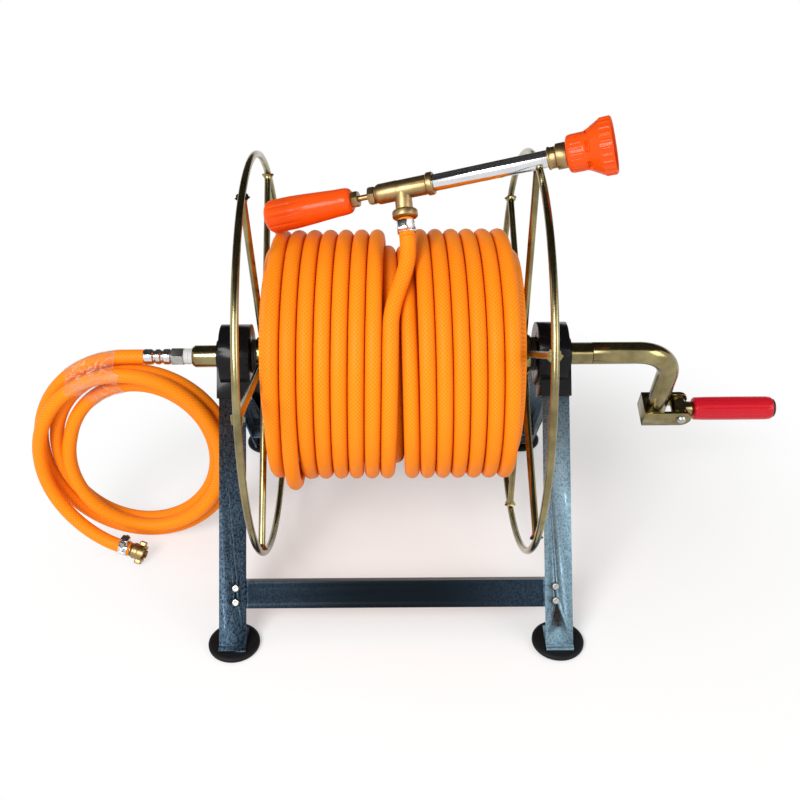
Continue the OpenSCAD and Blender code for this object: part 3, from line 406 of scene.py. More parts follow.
def about_spoke(x, angle, along, radius):
    """Rings round a spoke: along is the distance from the axle and radius the ring's, rows × sides."""
    sides = radius.shape[1]
    b = (np.arange(sides) / sides * 2 * np.pi)[None]
    out, side = math.radians(angle), radius * np.sin(b)
    reach = along[:, None] + 0 * b
    return at(x + radius * np.cos(b), -reach * math.sin(out) - side * math.cos(out),
              AXLE_HEIGHT + reach * math.cos(out) - side * math.sin(out))


def weld(x, angle, root, tip, seed):
    """A fillet that flares from a spoke to what it is welded to: radius = ROD + 2.6 t², rippled."""
    t = np.linspace(0, 1, 9)
    b = np.arange(20) / 20 * 2 * np.pi
    ripple = 0.22 * np.sin(5 * b + seed)[None] + 0.16 * np.sin(11 * b + 2 * seed)[None]
    radius = ROD + 0.05 + (2.6 * t ** 2)[:, None] * (1 + ripple)
    return about_spoke(x, angle, root + (tip - root) * t, radius)


for side, x, first in (("left", -WHEEL_X, -45.0), ("right", WHEEL_X, 0.0)):
    angles = [first + 60 * k for k in range(6)]
    made_of(f"{side}_wheel_rim", [rim_points(x)], f"rim_{side}", caps=False)
    length = np.linspace(HUB + FIT, RIM - ROD - FIT, 12)
    rods = [about_spoke(x, a, length, np.full((12, ROD_SIDES), ROD)) for a in angles]
    made_of(f"{side}_wheel_spokes", rods, f"spokes_{side}")
    beads = [weld(x, a, RIM - ROD - 4.5, RIM - ROD + 1.2, k) for k, a in enumerate(angles)]
    beads += [weld(x, a, HUB + 4.5, HUB - 0.8, k + 9) for k, a in enumerate(angles)]
    made_of(f"{side}_wheel_welds", beads, like=f"rim_{side}")
    print(side, "spokes at", angles)

# %% [markdown]
# Sawn, moulded and machined parts have small rounded edges, which catch a line of light. The solid
# parts are sharp, so most are shown by a copy whose doubled points are merged and whose flat faces
# are joined, with a Bevel modifier that rounds every edge sharper than 30 degrees. A copy keeps the
# part's exact place and size, which modelling it afresh would put at risk.

# %% Parts with softened edges
def softened(node, width):
    """A copy of a solid part with edges rounded to a width in millimetres, shown in its place."""
    mesh = nodes[node].data.copy()
    mesh.name = node + "_soft"
    mesh.materials.clear()
    shape = bmesh.new()
    shape.from_mesh(mesh)
    bmesh.ops.remove_doubles(shape, verts=shape.verts, dist=2e-6)
    bmesh.ops.dissolve_limit(shape, angle_limit=math.radians(0.8), verts=shape.verts,
                             edges=shape.edges)
    shape.to_mesh(mesh)
    shape.free()
    piece = show(node + "_soft", mesh, node, sharp=180)
    edge = piece.modifiers.new("rounded edges", "BEVEL")
    edge.width, edge.segments = width / 1000, 2
    edge.limit_method, edge.angle_limit = "ANGLE", math.radians(30)
    edge.harden_normals = True


for width, kept in (
        (0.9, ["bracket_left", "bracket_right"]),
        (0.5, ["leg_front_left", "leg_front_right", "leg_rear_left", "leg_rear_right",
               "crossbar_front", "crossbar_rear", "foot_front_left", "foot_front_right",
               "foot_rear_left", "foot_rear_right", "bushes", "axle_pipe", "crank_pipe",
               "crank_clevis", "handle_rod", "wheel_hubs"]),
        (0.35, ["thrust_washers", "crank_pin", "grip_cap", "union_nut", "gland_nut", "rod_nut",
                "lance_body", "lance_adapter", "nozzle_insert", "branch_nut", "rivets"]),
        (0.2, ["bar_screws", "bar_nuts", "inlet_tail", "lance_tail"])):
    for node in kept:
        softened(node, width)
print("softened:", sum(name.endswith("_soft") for name in finished))

# %% [markdown]
# Grips, ferrules and nozzles are turned or moulded round one line. A single function spins an
# outline about such a line, and lets the radius and the place along it vary round the turn, which
# is enough for flutes, ribs, crimps and notches. A frame function says where the line lies.

# %% Shapes turned about a line
CRANK_PIVOT, CRANK_TURN = np.array([290.9, 0, -90.0]), 20


def in_reel(points):
    """The reel's own frame: x along the axle, from the axle's middle."""
    return at(points[..., 0], points[..., 1], points[..., 2] + AXLE_HEIGHT)


def on_crank(points):
    """The folding handle's frame: x along the grip, from its pivot."""
    return in_reel(turned(points + CRANK_PIVOT, 0, CRANK_TURN))


def on_tail(points):
    """The supply hose's end: x the way that its coupling points."""
    return at_all(turned(turned(points, 1, TAIL_DROP), 2, -TAIL_YAW) + tail_stop)


def on_branch(points):
    """The lance's hose branch: x out along it, y towards the front and up."""
    return on_lance(turned(turned(turned(points, 0, 180), 1, 90), 0, -BRANCH_TURN) + BRANCH_ROOT)


def spun(x, r, frame_of, steps=64, shape=None):
    """Spins an outline: (x, −r sin a, r cos a), after shape(a, x, r) has changed x and r."""
    a = (np.arange(steps) / steps * 2 * np.pi)[None]
    x, r = np.asarray(x, float)[:, None] + 0 * a, np.asarray(r, float)[:, None] + 0 * a
    if shape is not None:
        x, r = shape(a, x, r)
    return frame_of(np.stack([x, -r * np.sin(a), r * np.cos(a)], -1))


def rounded_outline(corners, turn=0.5, steps=4):
    """An outline whose corners are cut back by turn and replaced by short curves."""
    p = np.asarray(corners, float)
    out = [p[:1]]
    for before, here, after in zip(p[:-2], p[1:-1], p[2:]):
        one, two = here - before, after - here
        cut = min(turn, 0.45 * np.linalg.norm(one), 0.45 * np.linalg.norm(two))
        start, stop = here - cut * unit(one), here + cut * unit(two)
        t = np.linspace(0, 1, steps)[:, None]
        out.append((1 - t) ** 2 * start + 2 * t * (1 - t) * here + t * t * stop)
    return np.concatenate(out + [p[-1:]]).T


# %% [markdown]
# The crank's grip is a red moulded sleeve with eight shallow grooves, and the lance's handle an
# orange one with ten flutes on its thick half, so that wet fingers can turn it. Both are a spun
# outline, with a radius that dips where a groove runs.

# %% The crank's grip and the lance's handle
GRIP_START, GRIP_END = 13.7, 93.7
grip_x, grip_r = rounded_outline([(GRIP_START, 4.56), (GRIP_START, 10.2), (GRIP_START + 1.2, 11.5),
                                  (GRIP_START + 12, 11.9), (55, 12.0), (GRIP_END - 6, 11.9),
                                  (GRIP_END - 1.4, 11.2), (GRIP_END, 9.6), (GRIP_END, 4.56)], 1.4, 6)


def finger_grooves(a, x, r):
    """Eight shallow grooves along the sleeve: radius − 0.5 · cos¹⁴ of four times the angle."""
    window = ease((x - GRIP_START - 2) / 4) * (1 - ease((x - GRIP_END + 7) / 4)) * (r > 11)
    return x, r - 0.5 * window * np.cos(4 * a + 0.9) ** 14


sleeve = spun(np.append(grip_x, grip_x[0]), np.append(grip_r, grip_r[0]), on_crank, 128,
              finger_grooves)
made_of("crank_grip", [sleeve], "grip", caps=False)

BODY, GLAND_NUT, ROD_SHOWN, LOCK_NUT, HANDLE = 52.4, 6, 9.9, 6, 81
HANDLE_BACK = BODY_FRONT - BODY - GLAND_NUT - ROD_SHOWN - LOCK_NUT - HANDLE
handle_x, handle_r = rounded_outline([(0, 0.01), (0, 11.2), (3.2, 14.2), (6.2, 14.7), (24, 14.7),
                                      (38, 13.9), (50, 13.05), (66, 11.9), (73, 11.7), (77, 11.3),
                                      (79.5, 10.3), (HANDLE, 8.3), (HANDLE, 0.01)], 1.6, 6)


def flutes(a, x, r):
    """Ten shallow grooves: radius − cos¹⁸ of five times the angle, over the thick half."""
    x_on = x - HANDLE_BACK
    window = ease((x_on - 1) / 3) * (1 - ease((x_on - 30) / 6))
    return x, r - 1.0 * window * np.cos(5 * a) ** 18


made_of("lance_grip", [spun(handle_x + HANDLE_BACK, handle_r, on_lance, 160, flutes)],
        "lance_handle", caps=False)
print("grip", round(GRIP_END - GRIP_START), "mm, lance handle", HANDLE, "mm long")

# %% [markdown]
# The nozzle is a moulded bell. Outside it has a grooved neck, a ring of windows and a rim with
# raised ribs for the fingers; inside it is open towards the front, down to the brass jet. Behind
# it, a plain chrome tube leads back to the valve.

# %% The nozzle bell and the tube
TUBE_SHOWN, ADAPTER_HEX, ADAPTER_NECK = 97.5, 7, 9
BELL_BACK = BODY_FRONT + TUBE_SHOWN + ADAPTER_HEX + ADAPTER_NECK + FIT
outside = rounded_outline([(0, 8.5), (0, 12.9), (1.2, 14.9), (3.5, 15.5), (14.5, 15.6),
                           (17.0, 16.5), (25.6, 21.4), (27.4, 22.4), (37.4, 22.6), (38, 22.2)],
                          0.8, 4)
inside = rounded_outline([(38, 22.2), (37.6, 20.8), (27.4, 19.6), (18.2, 13.1), (15.4, 13.1),
                          (15.4, 8.5), (0, 8.5)], 0.8, 4)


def finer(x, r, most):
    """The same outline with its points no further apart than most."""
    corner = distance_along(np.stack([x, r], -1))
    spot = np.unique(np.concatenate([corner, np.arange(0, corner[-1], most)]))
    return np.interp(spot, corner, x), np.interp(spot, corner, r)


def ribs(a, x, r):
    """Raised ribs on the rim, six sunk windows behind it and shallow grooves on the neck. Each is a
    wave round the bell, cut off at 0 and 1, times a span along it that starts and ends smoothly."""
    def span(first, last, soft):
        return ease((x - BELL_BACK - first) / soft[0]) * (1 - ease((x - BELL_BACK - last) / soft[1]))
    rib = np.clip(np.cos(24 * a) * 1.6 - 0.3, 0, 1) * span(27.6, 36.6, (1.2, 1))
    window = np.clip(np.cos(6 * a) * 4 + 0.8, 0, 1) * span(16.0, 19.2, (0.5, 0.5))
    groove = np.clip(np.cos(24 * a) * 2 - 1, 0, 1) * span(3, 12, (1.5, 1.5))
    return x, r + 0.85 * rib - 2.2 * window - 0.3 * groove


outer_x, outer_r = finer(*outside, 0.4)
bell_outer = spun(outer_x + BELL_BACK, outer_r, on_lance, 288, ribs)
bell_inner = spun(inside[0] + BELL_BACK, inside[1], on_lance, 288)
bell = made_of("nozzle_cup", [bell_outer, bell_inner], "nozzle_bell", sharp=50, caps=False)
tube_back, tube_front, bore = BODY_FRONT - 13.7, BODY_FRONT + 102.5, LANCE_TUBE - 1.2
tube_x, tube_r = rounded_outline([(tube_back, bore), (tube_back, LANCE_TUBE),
                                  (tube_front, LANCE_TUBE), (tube_front, bore),
                                  (tube_back, bore)], 0.3, 3)
made_of("chrome_tube", [spun(tube_x, tube_r, on_lance, 96)], "lance_tube", caps=False)
print("nozzle:", len(bell.data.polygons), "faces, tube", round(tube_front - tube_back, 1), "mm long")

# %% [markdown]
# A crimped ferrule is a plated sleeve that jaws have squeezed into two deep necks, with a fine line
# between them. Beside it, white sealing tape is wound over the thread that goes into the axle. Each
# is a spun outline again, made of a few smooth dips or of one ripple per wrap.

# %% The ferrule and the taped thread
FERRULE_START, FERRULE = -210.3, 26


def closed_in(x, r, bore):
    """The same outline, with a step in to the bore at both of its ends."""
    return np.concatenate([x[:1], x, x[-1:]]), np.concatenate([[bore], r, [bore]])


def dip(place, width):
    """A smooth dip of depth one at a place along the ferrule: exp(−(distance / width)²)."""
    return np.exp(-((ferrule_x - place) / width) ** 2)


def crimped(a, x, r):
    """Eight marks of the crimping jaws: the radius gains 0.07 mm · cos 8a between the ends."""
    return x, r + 0.07 * np.cos(8 * a) * (np.abs(x - FERRULE_START + FERRULE / 2) < 11)


ferrule_x = np.linspace(0, FERRULE, 105)
squeezed = (7.15 + 0.5 * ease(ferrule_x / 1.2) - 1.5 * dip(9, 1.5) - 1.5 * dip(16.2, 1.6)
            - 0.35 * dip(12.6, 0.5) + 0.05 * np.sin(ferrule_x * 2.2) - 0.5 * ease(ferrule_x - 25))
squeezed[:8] -= np.linspace(1.1, 0, 8)
sleeve = spun(*closed_in(FERRULE_START - ferrule_x, squeezed, 3.0), in_reel, 64, crimped)
made_of("crimped_ferrule", [sleeve], "inlet_ferrule")

tape_x = np.linspace(-198.4, -190.1, 70)
wraps = 7.25 + 0.28 * np.abs(np.sin((tape_x + 190) * np.pi / 1.8)) + 0.08 * np.sin(tape_x * 5.1)
tape = spun(*closed_in(tape_x, wraps, 6.9), in_reel, 48,
            lambda a, x, r: (x, r + 0.06 * np.sin(3 * a + x)))
made_of("sealing_tape", [tape], like="swivel_nipple")
print("ferrule narrowest radius:", round(float(squeezed[8:-8].min()), 2), "mm")

# %% [markdown]
# A worm-drive clamp is a thin steel band with slanted slots, a small housing pressed from sheet, and
# a screw whose thread bites into the slots. The slots are real notches in the band's grid, the
# housing is a rounded box over the screw, and the screw has a hexagon head with a round recess.

# %% The two hose clamps
def rounded_block(half, power, steps=20):
    """A superellipsoid: half · sign(c)|c|^(2/power) in each of its two angles."""
    def soft(c):
        return np.sign(c) * np.abs(c) ** (2 / power)

    u = np.linspace(-np.pi / 2, np.pi / 2, steps)[:, None]
    v = (np.arange(2 * steps) / (2 * steps) * 2 * np.pi)[None]
    return np.stack([half[0] * soft(np.sin(u)) + 0 * v, half[1] * soft(np.cos(u)) * soft(np.cos(v)),
                     half[2] * soft(np.cos(u)) * soft(np.sin(v))], -1)


def worm_clamp(name, frame_of, middle, band_node, screw_node, side=1):
    """A band round a hose along x at middle, with its housing and screw above it. The screw's head
    is at the side of −y, or of +y where side is −1."""
    inner_r, outer_r = HOSE / 2 + FIT, HOSE / 2 + 1.1
    a = np.linspace(-np.pi, np.pi, 241)[:, None]
    w = np.array([-4.5, -4.4, -4.1, -3.0, -2.6, 2.6, 3.0, 4.1, 4.4, 4.5])[None]
    slots = (np.sin(30 * a + 0.55 * w) > 0.1) & (np.abs(w) < 2.8) & (np.abs(a) < 2.7)
    r = outer_r - 0.12 * (np.abs(w) > 4.3) - 0.45 * slots
    top = np.stack([middle + w + 0 * a, -r * np.sin(a), r * np.cos(a)], -1)
    under = np.stack([middle + w[:, ::-1] + 0 * a, -inner_r * np.sin(a) + 0 * w,
                      inner_r * np.cos(a) + 0 * w], -1)
    band = frame_of(np.concatenate([top, under], 1))
    box = frame_of(rounded_block((4.5, 4.6, 3.1), 6) + np.array([middle, 0, outer_r + 2.5]))
    made_of(name + "_band", [band, box], band_node, sharp=28, merge=2e-6, caps=False)
    y = np.array([6, 6, 5.7, -5.3, -5.4, -6.2, -6.2, -8.6, -9, -9, -8.1, -8.1])
    size = np.array([0.01, 1.9, 2.2, 2.2, 4.1, 4.2, 3.6, 3.6, 3.2, 2.6, 2.6, 0.01])
    b = (np.arange(48) / 48 * 2 * np.pi)[None]
    hexagon = 0.9 / np.cos((b + np.pi / 6) % (np.pi / 3) - np.pi / 6)
    around = np.where(((y < -6.3) & (size > 3))[:, None], hexagon, 1.0) * size[:, None]
    screw = np.stack([middle + side * around * np.cos(b), side * y[:, None] + 0 * b,
                      inner_r + 3.4 + around * np.sin(b)], -1)
    made_of(name + "_screw", [frame_of(screw)], screw_node)


worm_clamp("supply_clamp", on_tail, -6.5, "inlet_clamp", "inlet_clamp_screw")
worm_clamp("lance_clamp", lambda points: on_branch(turned(points, 0, -90)), 34.0, "lance_clamp",
           "lance_clamp_screw", -1)
cut_end = spun([26, 26, 26.5, 41.5, 42, 42], [4.4, 6.5, 6.95, 6.95, 6.5, 4.4], on_branch, 40)
made_of("lance_hose_sleeve", [cut_end], "lance_hose_end",
        along=np.array([0, 0.002, 0.0025, 0.0175, 0.018, 0.02]))
print("clamps on hoses of", HOSE, "mm")

# %% [markdown]
# The coupling nut is cast brass with two lugs to tap it tight, and a mouth notched like a castle.
# The notches are made by letting the last rows of the outline step back with the angle.

# %% The supply coupling
def notched(a, x, r):
    """Four notches: the mouth's rows move back 1.8 mm where cos 4a is high."""
    notch = np.clip(np.cos(4 * a + 0.4) * 3 - 1.2, 0, 1)
    return x - 1.8 * notch * (x > 15.2), r


nut_x, nut_r = rounded_outline([(1.9, 4.7), (1.9, 7.0), (3.4, 8.2), (5.2, 8.2), (5.6, 7.9),
                                (9.0, 7.9), (9.4, 8.2), (15.9, 8.2), (15.9, 6.0), (6.9, 6.0),
                                (6.9, 4.7), (1.9, 4.7)], 0.4, 3)
nut_skin = spun(nut_x, nut_r, on_tail, 128, notched)
lug = rounded_block((3.6, 2.6, 2.6), 5, 16) + np.array([11.0, 0, 9.2])
lugs = [on_tail(turned(lug, 0, degrees)) for degrees in (-40, 140)]
made_of("supply_coupling", [nut_skin] + lugs, "inlet_coupling", caps=False)
print("coupling", len(lugs), "lugs")

# %% [markdown]
# Clear wrap ties the supply hose's loops. It is a thin sheet pulled tight round the four strands,
# and bends with them, with small creases and ragged ends. A cloth simulation could pull it tight,
# but the tightest line round four circles can be worked out at once, and never cuts into them.

# %% The clear tie
TIE_TURN, TIE_REACH = 19 / 360, 16 / 360


def wrap_points(away):
    """Points of the sheet, in rows across the bundle: the tightest line round its four strands.

    In each direction u round the bundle, the point is the middle of the strand that reaches furthest
    along u, plus its radius times u, with creases of 0.15 mm · sin(9a + 3w). The sheet's ragged ends
    wander by a few millimetres.
    """
    a = (np.arange(160) / 160 * 2 * np.pi)[None]
    w = np.linspace(-1, 1, 33)[:, None]
    turns = TIE_TURN + TIE_REACH * w * (1 + 0.10 * np.sin(3 * a + 0.7) + 0.05 * np.sin(11 * a))
    strands = np.stack([loop_point(turns + k) for k in range(4)])
    along = unit(loop_point(turns + 1.001) - loop_point(turns + 0.999))
    sideways = np.array([0, 1.0, 0])
    u = np.cos(a)[..., None] * unit(np.cross(along, sideways)) + np.sin(a)[..., None] * sideways
    furthest = (strands * u).sum(-1).argmax(0)
    middle = np.take_along_axis(strands, furthest[None, ..., None], 0)[0]
    crease = 0.15 * np.sin(9 * a + 3.1 * w) + 0.10 * np.sin(23 * a - 5 * w + 1.0)
    return at_all(middle + (HOSE / 2 + 0.5 + crease + away)[..., None] * u)


wrap = np.concatenate([wrap_points(0.25), wrap_points(0.0)[::-1]])
made_of("clear_wrap", [np.concatenate([wrap, wrap[:1]])], "hose_tie", sharp=60, merge=1e-7,
        caps=False)
print("tie:", len(wrap), "rows at", round(360 * TIE_TURN), "degrees from the top")

# %% [markdown]
# Finishes are built from nodes. Three small classes make that readable: a Link wraps a node's output
# so that sums such as 1 - a * b add the Math nodes for them, Nodes makes any other node from its
# type, its settings and the values of its sockets, and a Paint holds the nodes of one material.

# %% Sums on shader sockets
class Link:
    """A node's output that can be added, multiplied and compared in plain expressions."""

    def __init__(self, nodes, socket):
        self.nodes, self.socket = nodes, socket

    def math(self, operation, *values):
        """A Math node of that operation on these values or links."""
        return self.nodes.node("ShaderNodeMath", {"operation": operation}, dict(enumerate(values)))

    def __add__(self, other):
        return self.math("ADD", self, other)

    def __sub__(self, other):
        return self.math("SUBTRACT", self, other)

    def __rsub__(self, other):
        return self.math("SUBTRACT", other, self)

    def __mul__(self, other):
        return self.math("MULTIPLY", self, other)

    def __truediv__(self, other):
        return self.math("DIVIDE", self, other)

    __radd__ = __add__

    def wave(self):
        """Runs from 0 up to 1 and back for each 1 that the value grows."""
        return self.math("PINGPONG", self, 0.5) * 2.0

    def size(self):
        """The value without its sign."""
        return self.math("ABSOLUTE", self)

    def larger(self, other):
        """The larger of two values."""
        return self.math("MAXIMUM", self, other)

    def smaller(self, other):
        """The smaller of two values."""
        return self.math("MINIMUM", self, other)

    def step(self, low, high):
        """0 below low, 1 above high, smooth between."""
        return self.nodes.node("ShaderNodeMapRange", {"interpolation_type": "SMOOTHSTEP"},
                               {"Value": self, "From Min": low, "From Max": high})


class Nodes:
    """The tree of nodes of a material or of the world."""

    def __init__(self, tree):
        self.tree = tree

    def node(self, kind, settings=None, values=None, out=0):
        """Any node: settings first, then the values or links of its sockets."""
        made = self.tree.nodes.new(kind)
        for key, value in (settings or {}).items():
            setattr(made, key, value)
        for key, value in (values or {}).items():
            if isinstance(value, Link):
                self.tree.links.new(value.socket, made.inputs[key])
            else:
                made.inputs[key].default_value = value
        return Link(self, made.outputs[out])

    def mixed(self, amount, one, two):
        """A mix of two shaders: one where amount is 0, two where it is 1."""
        return self.node("ShaderNodeMixShader", None, {0: amount, 1: one, 2: two})

    def seen(self):
        """1 for what is looked at, mirrored or seen through something clear, 0 for other light."""
        camera, glossy, through = (self.node("ShaderNodeLightPath", out=f"Is {kind} Ray")
                                   for kind in ("Camera", "Glossy", "Transmission"))
        return (camera + glossy + through).smaller(1.0)


class Paint(Nodes):
    """One material: its Principled shader, and the nodes that lead to it."""

    def __init__(self, name, **plain):
        self.material = bpy.data.materials.new(name)
        self.material.use_nodes = True
        super().__init__(self.material.node_tree)
        self.shader = self.tree.nodes["Principled BSDF"]
        self.own = Link(self, self.shader.outputs[0])
        for socket, value in plain.items():
            self.shader.inputs[socket.replace("_", " ")].default_value = value

    def place(self, scale=(1, 1, 1)):
        """Where a point is on the object, in metres, stretched by scale."""
        there = self.node("ShaderNodeTexCoord", out="Object")
        return self.node("ShaderNodeMapping", None, {"Vector": there, "Scale": scale})

    def mapped(self, scale):
        """Where a point is on the piece's own map, stretched by scale."""
        return self.node("ShaderNodeMapping", None, {"Vector": self.node("ShaderNodeUVMap"),
                                                     "Scale": scale})

    def noise(self, scale, detail=3.0, rough=0.5, where=None):
        """Cloudy noise between 0 and 1, scale times per metre."""
        return self.node("ShaderNodeTexNoise", None, {
            "Vector": where or self.place(), "Scale": scale, "Detail": detail, "Roughness": rough})

    def cells(self, scale, where):
        """Distance to the middle of the nearest of many cells, with soft edges between them."""
        return self.node("ShaderNodeTexVoronoi", {"feature": "SMOOTH_F1"},
                         {"Vector": where, "Scale": scale}, "Distance")

    def along_and_round(self):
        """The piece's own map: metres along it, and turns round it."""
        spot = self.node("ShaderNodeUVMap")
        return (self.node("ShaderNodeSeparateXYZ", None, {0: spot}, axis) for axis in (0, 1))

    def blend(self, amount, one, two):
        """A colour between two, each a link or red, green and blue."""
        def paint(c):
            return c if isinstance(c, Link) else (*c, 1.0)
        return self.node("ShaderNodeMix", {"data_type": "RGBA"},
                         {0: amount, 6: paint(one), 7: paint(two)}, 2)

    def feed(self, socket, value):
        """Leads a value to a socket of the Principled shader."""
        self.tree.links.new(value.socket, self.shader.inputs[socket])

    def bumps(self, height, depth, strength):
        """Raises the surface by depth metres where height is 1."""
        self.feed("Normal", self.node("ShaderNodeBump", None, {
            "Height": height, "Distance": depth, "Strength": strength}, "Normal"))

    def end_in(self, shader):
        """Makes another shader the material's last one, in place of the Principled one."""
        self.tree.links.new(shader.socket, self.tree.nodes["Material Output"].inputs["Surface"])


# %% [markdown]
# The hose has a woven sleeve under a clear orange skin. Two sets of threads spiral round it in
# opposite ways, so the braid is the larger of two slanted waves in the piece's own map. The threads
# are far too many to model, so they are drawn in the finish, with a slight bump.

# %% Orange hose
THREAD, THREADS = 0.0036, 12
finish = {}
hose = Paint("orange_braided_hose", Roughness=0.48, Specular_IOR_Level=0.12)
metres, turns = hose.along_and_round()
one_way, other_way = metres / THREAD + turns * THREADS, metres / THREAD - turns * THREADS
braid = one_way.wave().larger(other_way.wave())
cloud = hose.noise(9, 2)
hose.feed("Base Color", hose.blend(braid.step(0.45, 1.0) * 0.7 + cloud * 0.3,
                                   (0.86, 0.175, 0.003), (1.0, 0.31, 0.010)))
hose.bumps(braid, 0.00016, 0.45)
finish["hose_orange"] = hose.material
print("threads of the braid:", 1000 * THREAD, "mm apart,", THREADS, "round the hose each way")

# %% [markdown]
# The stand has near-black paint with a hammer finish. Stretched noise and cells make its little
# craters, as bumps and as pale flecks: the flecks are a painted reflection of the sky on the dark blue
# of the left legs, and the blue-grey right legs are a lighter, painted lit copy of them. The crossbars
# between the legs are plainer and nearly black, so the craters fade from the legs towards the reel's
# middle: painted shade where the reel hides the sky.

# %% Hammered paint, with painted reflection and shade
LEGS_FROM, LEGS_UNTIL = 0.1365, 0.1375


def hammered_with_painted_reflection(name, deep, pale, share, bar=0.0):
    """Hammer-finish paint between a deep colour and a pale one, whose flecks are a painted reflection
    of the sky; share is how much of the pale one shows, and bar how much of it gives way, plainer and
    darker, between the legs, where the crossbars are: painted shade, deepest in the reel's middle."""
    paint = Paint(name, Metallic=0.15, Coat_Roughness=0.14, Specular_IOR_Level=0.2 - 0.17 * bar)
    craters = paint.cells(760, paint.place((1, 1, 0.5)))
    drift = paint.noise(520, 4, 0.6, paint.place((1, 1, 0.22)))
    broad = paint.noise(28, 3, 0.6)
    across = paint.node("ShaderNodeSeparateXYZ", None, {0: paint.place()}, 0)
    aside = (across + MIDDLE / 1000).size()
    # Painted shade between the legs, where the reel hides the sky: 1 in the middle, 0.65 at the legs,
    # 0 on them.
    painted_shade_between_legs = 1 - aside.step(0.02, 0.136) * 0.35 - aside.step(LEGS_FROM, LEGS_UNTIL) * 0.65
    # Pale flecks of painted sky reflection.
    painted_reflection_fleck = (craters * 0.8 + drift * 0.9 + broad * 0.35).step(0.84 - share, 1.46 - share)
    painted_reflection_fleck = painted_reflection_fleck * (1 - painted_shade_between_legs * bar)
    # Painted shade: towards near black between the legs, in place of the painted reflection.
    paint.feed("Base Color", paint.blend(painted_shade_between_legs * bar * 0.9, paint.blend(painted_reflection_fleck, deep, pale),
                                         (0.004, 0.006, 0.007)))
    paint.feed("Coat Weight", 0.12 - painted_shade_between_legs * bar * 0.12)
    paint.feed("Roughness", 0.40 - painted_reflection_fleck * 0.12)
    paint.bumps(craters + drift * 0.6, 0.0003, 0.32)
    return paint.material


# Left legs and crossbars: dark navy with pale flecks of painted reflection. Right legs: blue-grey, a
# lighter painted lit copy of the same near-black paint.
finish["navy_paint"] = hammered_with_painted_reflection("navy_hammer_paint_painted_reflection", (0.012, 0.026, 0.050),
                                (0.115, 0.19, 0.27), 0.22, 1.0)
finish["blue_grey_paint"] = hammered_with_painted_reflection("blue_grey_hammer_paint_painted_lit_copy", (0.085, 0.175, 0.245),
                                     (0.30, 0.46, 0.56), 0.30)
print("paints:", [slot for slot in finish if slot.endswith("paint")])

# %% [markdown]
# Yellow zinc plating is thin and uneven: golden where it is thick, olive and brown where it is not.
# White zinc and nickel are more even, and cast brass is satin. One function makes them all, since
# they differ only in their two tones, their gloss and the size of the patches.

# %% Metals
def metal(name, pale, deep, rough, patch, grain=0.00002, uneven=0.5):
    """A metal whose colour drifts between two tones in patches, with a fine grain."""
    paint = Paint(name, Metallic=1.0)
    patches = paint.noise(patch, 5, 0.6)
    fine = paint.noise(1400, 3, 0.6)
    drift = ((patches - 0.5) * (2.4 * uneven) + 0.5).step(0.0, 1.0)
    paint.feed("Base Color", paint.blend(drift, pale, deep))
    paint.feed("Roughness", rough + patches * 0.06 + fine * 0.03)
    paint.bumps(fine, grain, 0.6)
    return paint.material


METALS = {
    "yellow_zinc": ("yellow_zinc_plate", (0.39, 0.33, 0.16), (0.11, 0.085, 0.038),
                    0.15, 32, 0.00002, 0.6),
    "zinc_steel": ("white_zinc_plate", (0.54, 0.54, 0.52), (0.32, 0.32, 0.30), 0.28, 120),
    "brass": ("satin_brass", (0.46, 0.33, 0.16), (0.27, 0.175, 0.075), 0.35, 90, 0.00006),
    "bright_nickel": ("bright_nickel_plate", (0.78, 0.79, 0.81), (0.60, 0.61, 0.64),
                      0.07, 70, 0.000008)}
for slot, look in METALS.items():
    finish[slot] = metal(*look)
print("metals:", list(METALS))

# %% [markdown]
# Moulded plastics and rubber are plain in colour, but never quite even: a soft drift of tone, a fine
# skin from the mould, and a gloss that comes and goes.

# %% Plastics and rubber
def moulded(name, tone, deep, rough, coat=0.0, mirror=0.5):
    """A moulded plastic or rubber whose tone drifts a little, with a fine skin. Mirror is the
    shader's specular level, of which 0.5 is common plastic."""
    paint = Paint(name, Coat_Weight=coat, Coat_Roughness=0.08, Specular_IOR_Level=mirror)
    fine = paint.noise(900, 4, 0.6)
    paint.feed("Base Color", paint.blend(paint.noise(30), deep, tone))
    paint.feed("Roughness", rough + fine * 0.10)
    paint.bumps(fine, 0.00002, 0.6)
    return paint.material


MOULDED = {
    "black_plastic": ("black_moulding", (0.006, 0.006, 0.007), (0.002, 0.002, 0.003),
                      0.18, 0.08, 0.15),
    "bearing_plastic": ("bearing_moulding", (0.035, 0.035, 0.037), (0.015, 0.015, 0.016), 0.38),
    "foot_rubber": ("foot_rubber_skin", (0.010, 0.011, 0.012), (0.005, 0.005, 0.006),
                    0.5, 0.0, 0.15),
    "seal_rubber": ("seal_rubber_skin", (0.010, 0.010, 0.010), (0.004, 0.004, 0.004), 0.4),
    "grip_red": ("red_grip_moulding", (0.58, 0.010, 0.022), (0.44, 0.004, 0.013),
                 0.16, 0.2, 0.15),
    "cap_black": ("black_cap_moulding", (0.03, 0.026, 0.022), (0.012, 0.010, 0.009), 0.4),
    "nozzle_red": ("orange_red_moulding", (0.86, 0.092, 0.005), (0.72, 0.058, 0.003),
                   0.20, 0.1, 0.12),
    "sealing_tape": ("white_sealing_tape", (0.72, 0.73, 0.72), (0.48, 0.49, 0.49), 0.42)}
for slot, look in MOULDED.items():
    finish[slot] = moulded(*look)
print("plastics and rubber:", list(MOULDED))

# %% [markdown]
# Clear wrap is nearly invisible, apart from its creases, which carry a near-white painted glint, and
# cloudy patches of a brownish haze, which is painted shade. Alpha, the share of light that it stops,
# rises along both; they run along the hose.

# %% Clear wrap
clear = Paint("clear_wrap_film", Coat_Weight=0.6, Coat_Roughness=0.08)
ridges = clear.noise(1.0, 4, 0.6, clear.mapped((3, 110, 1)))
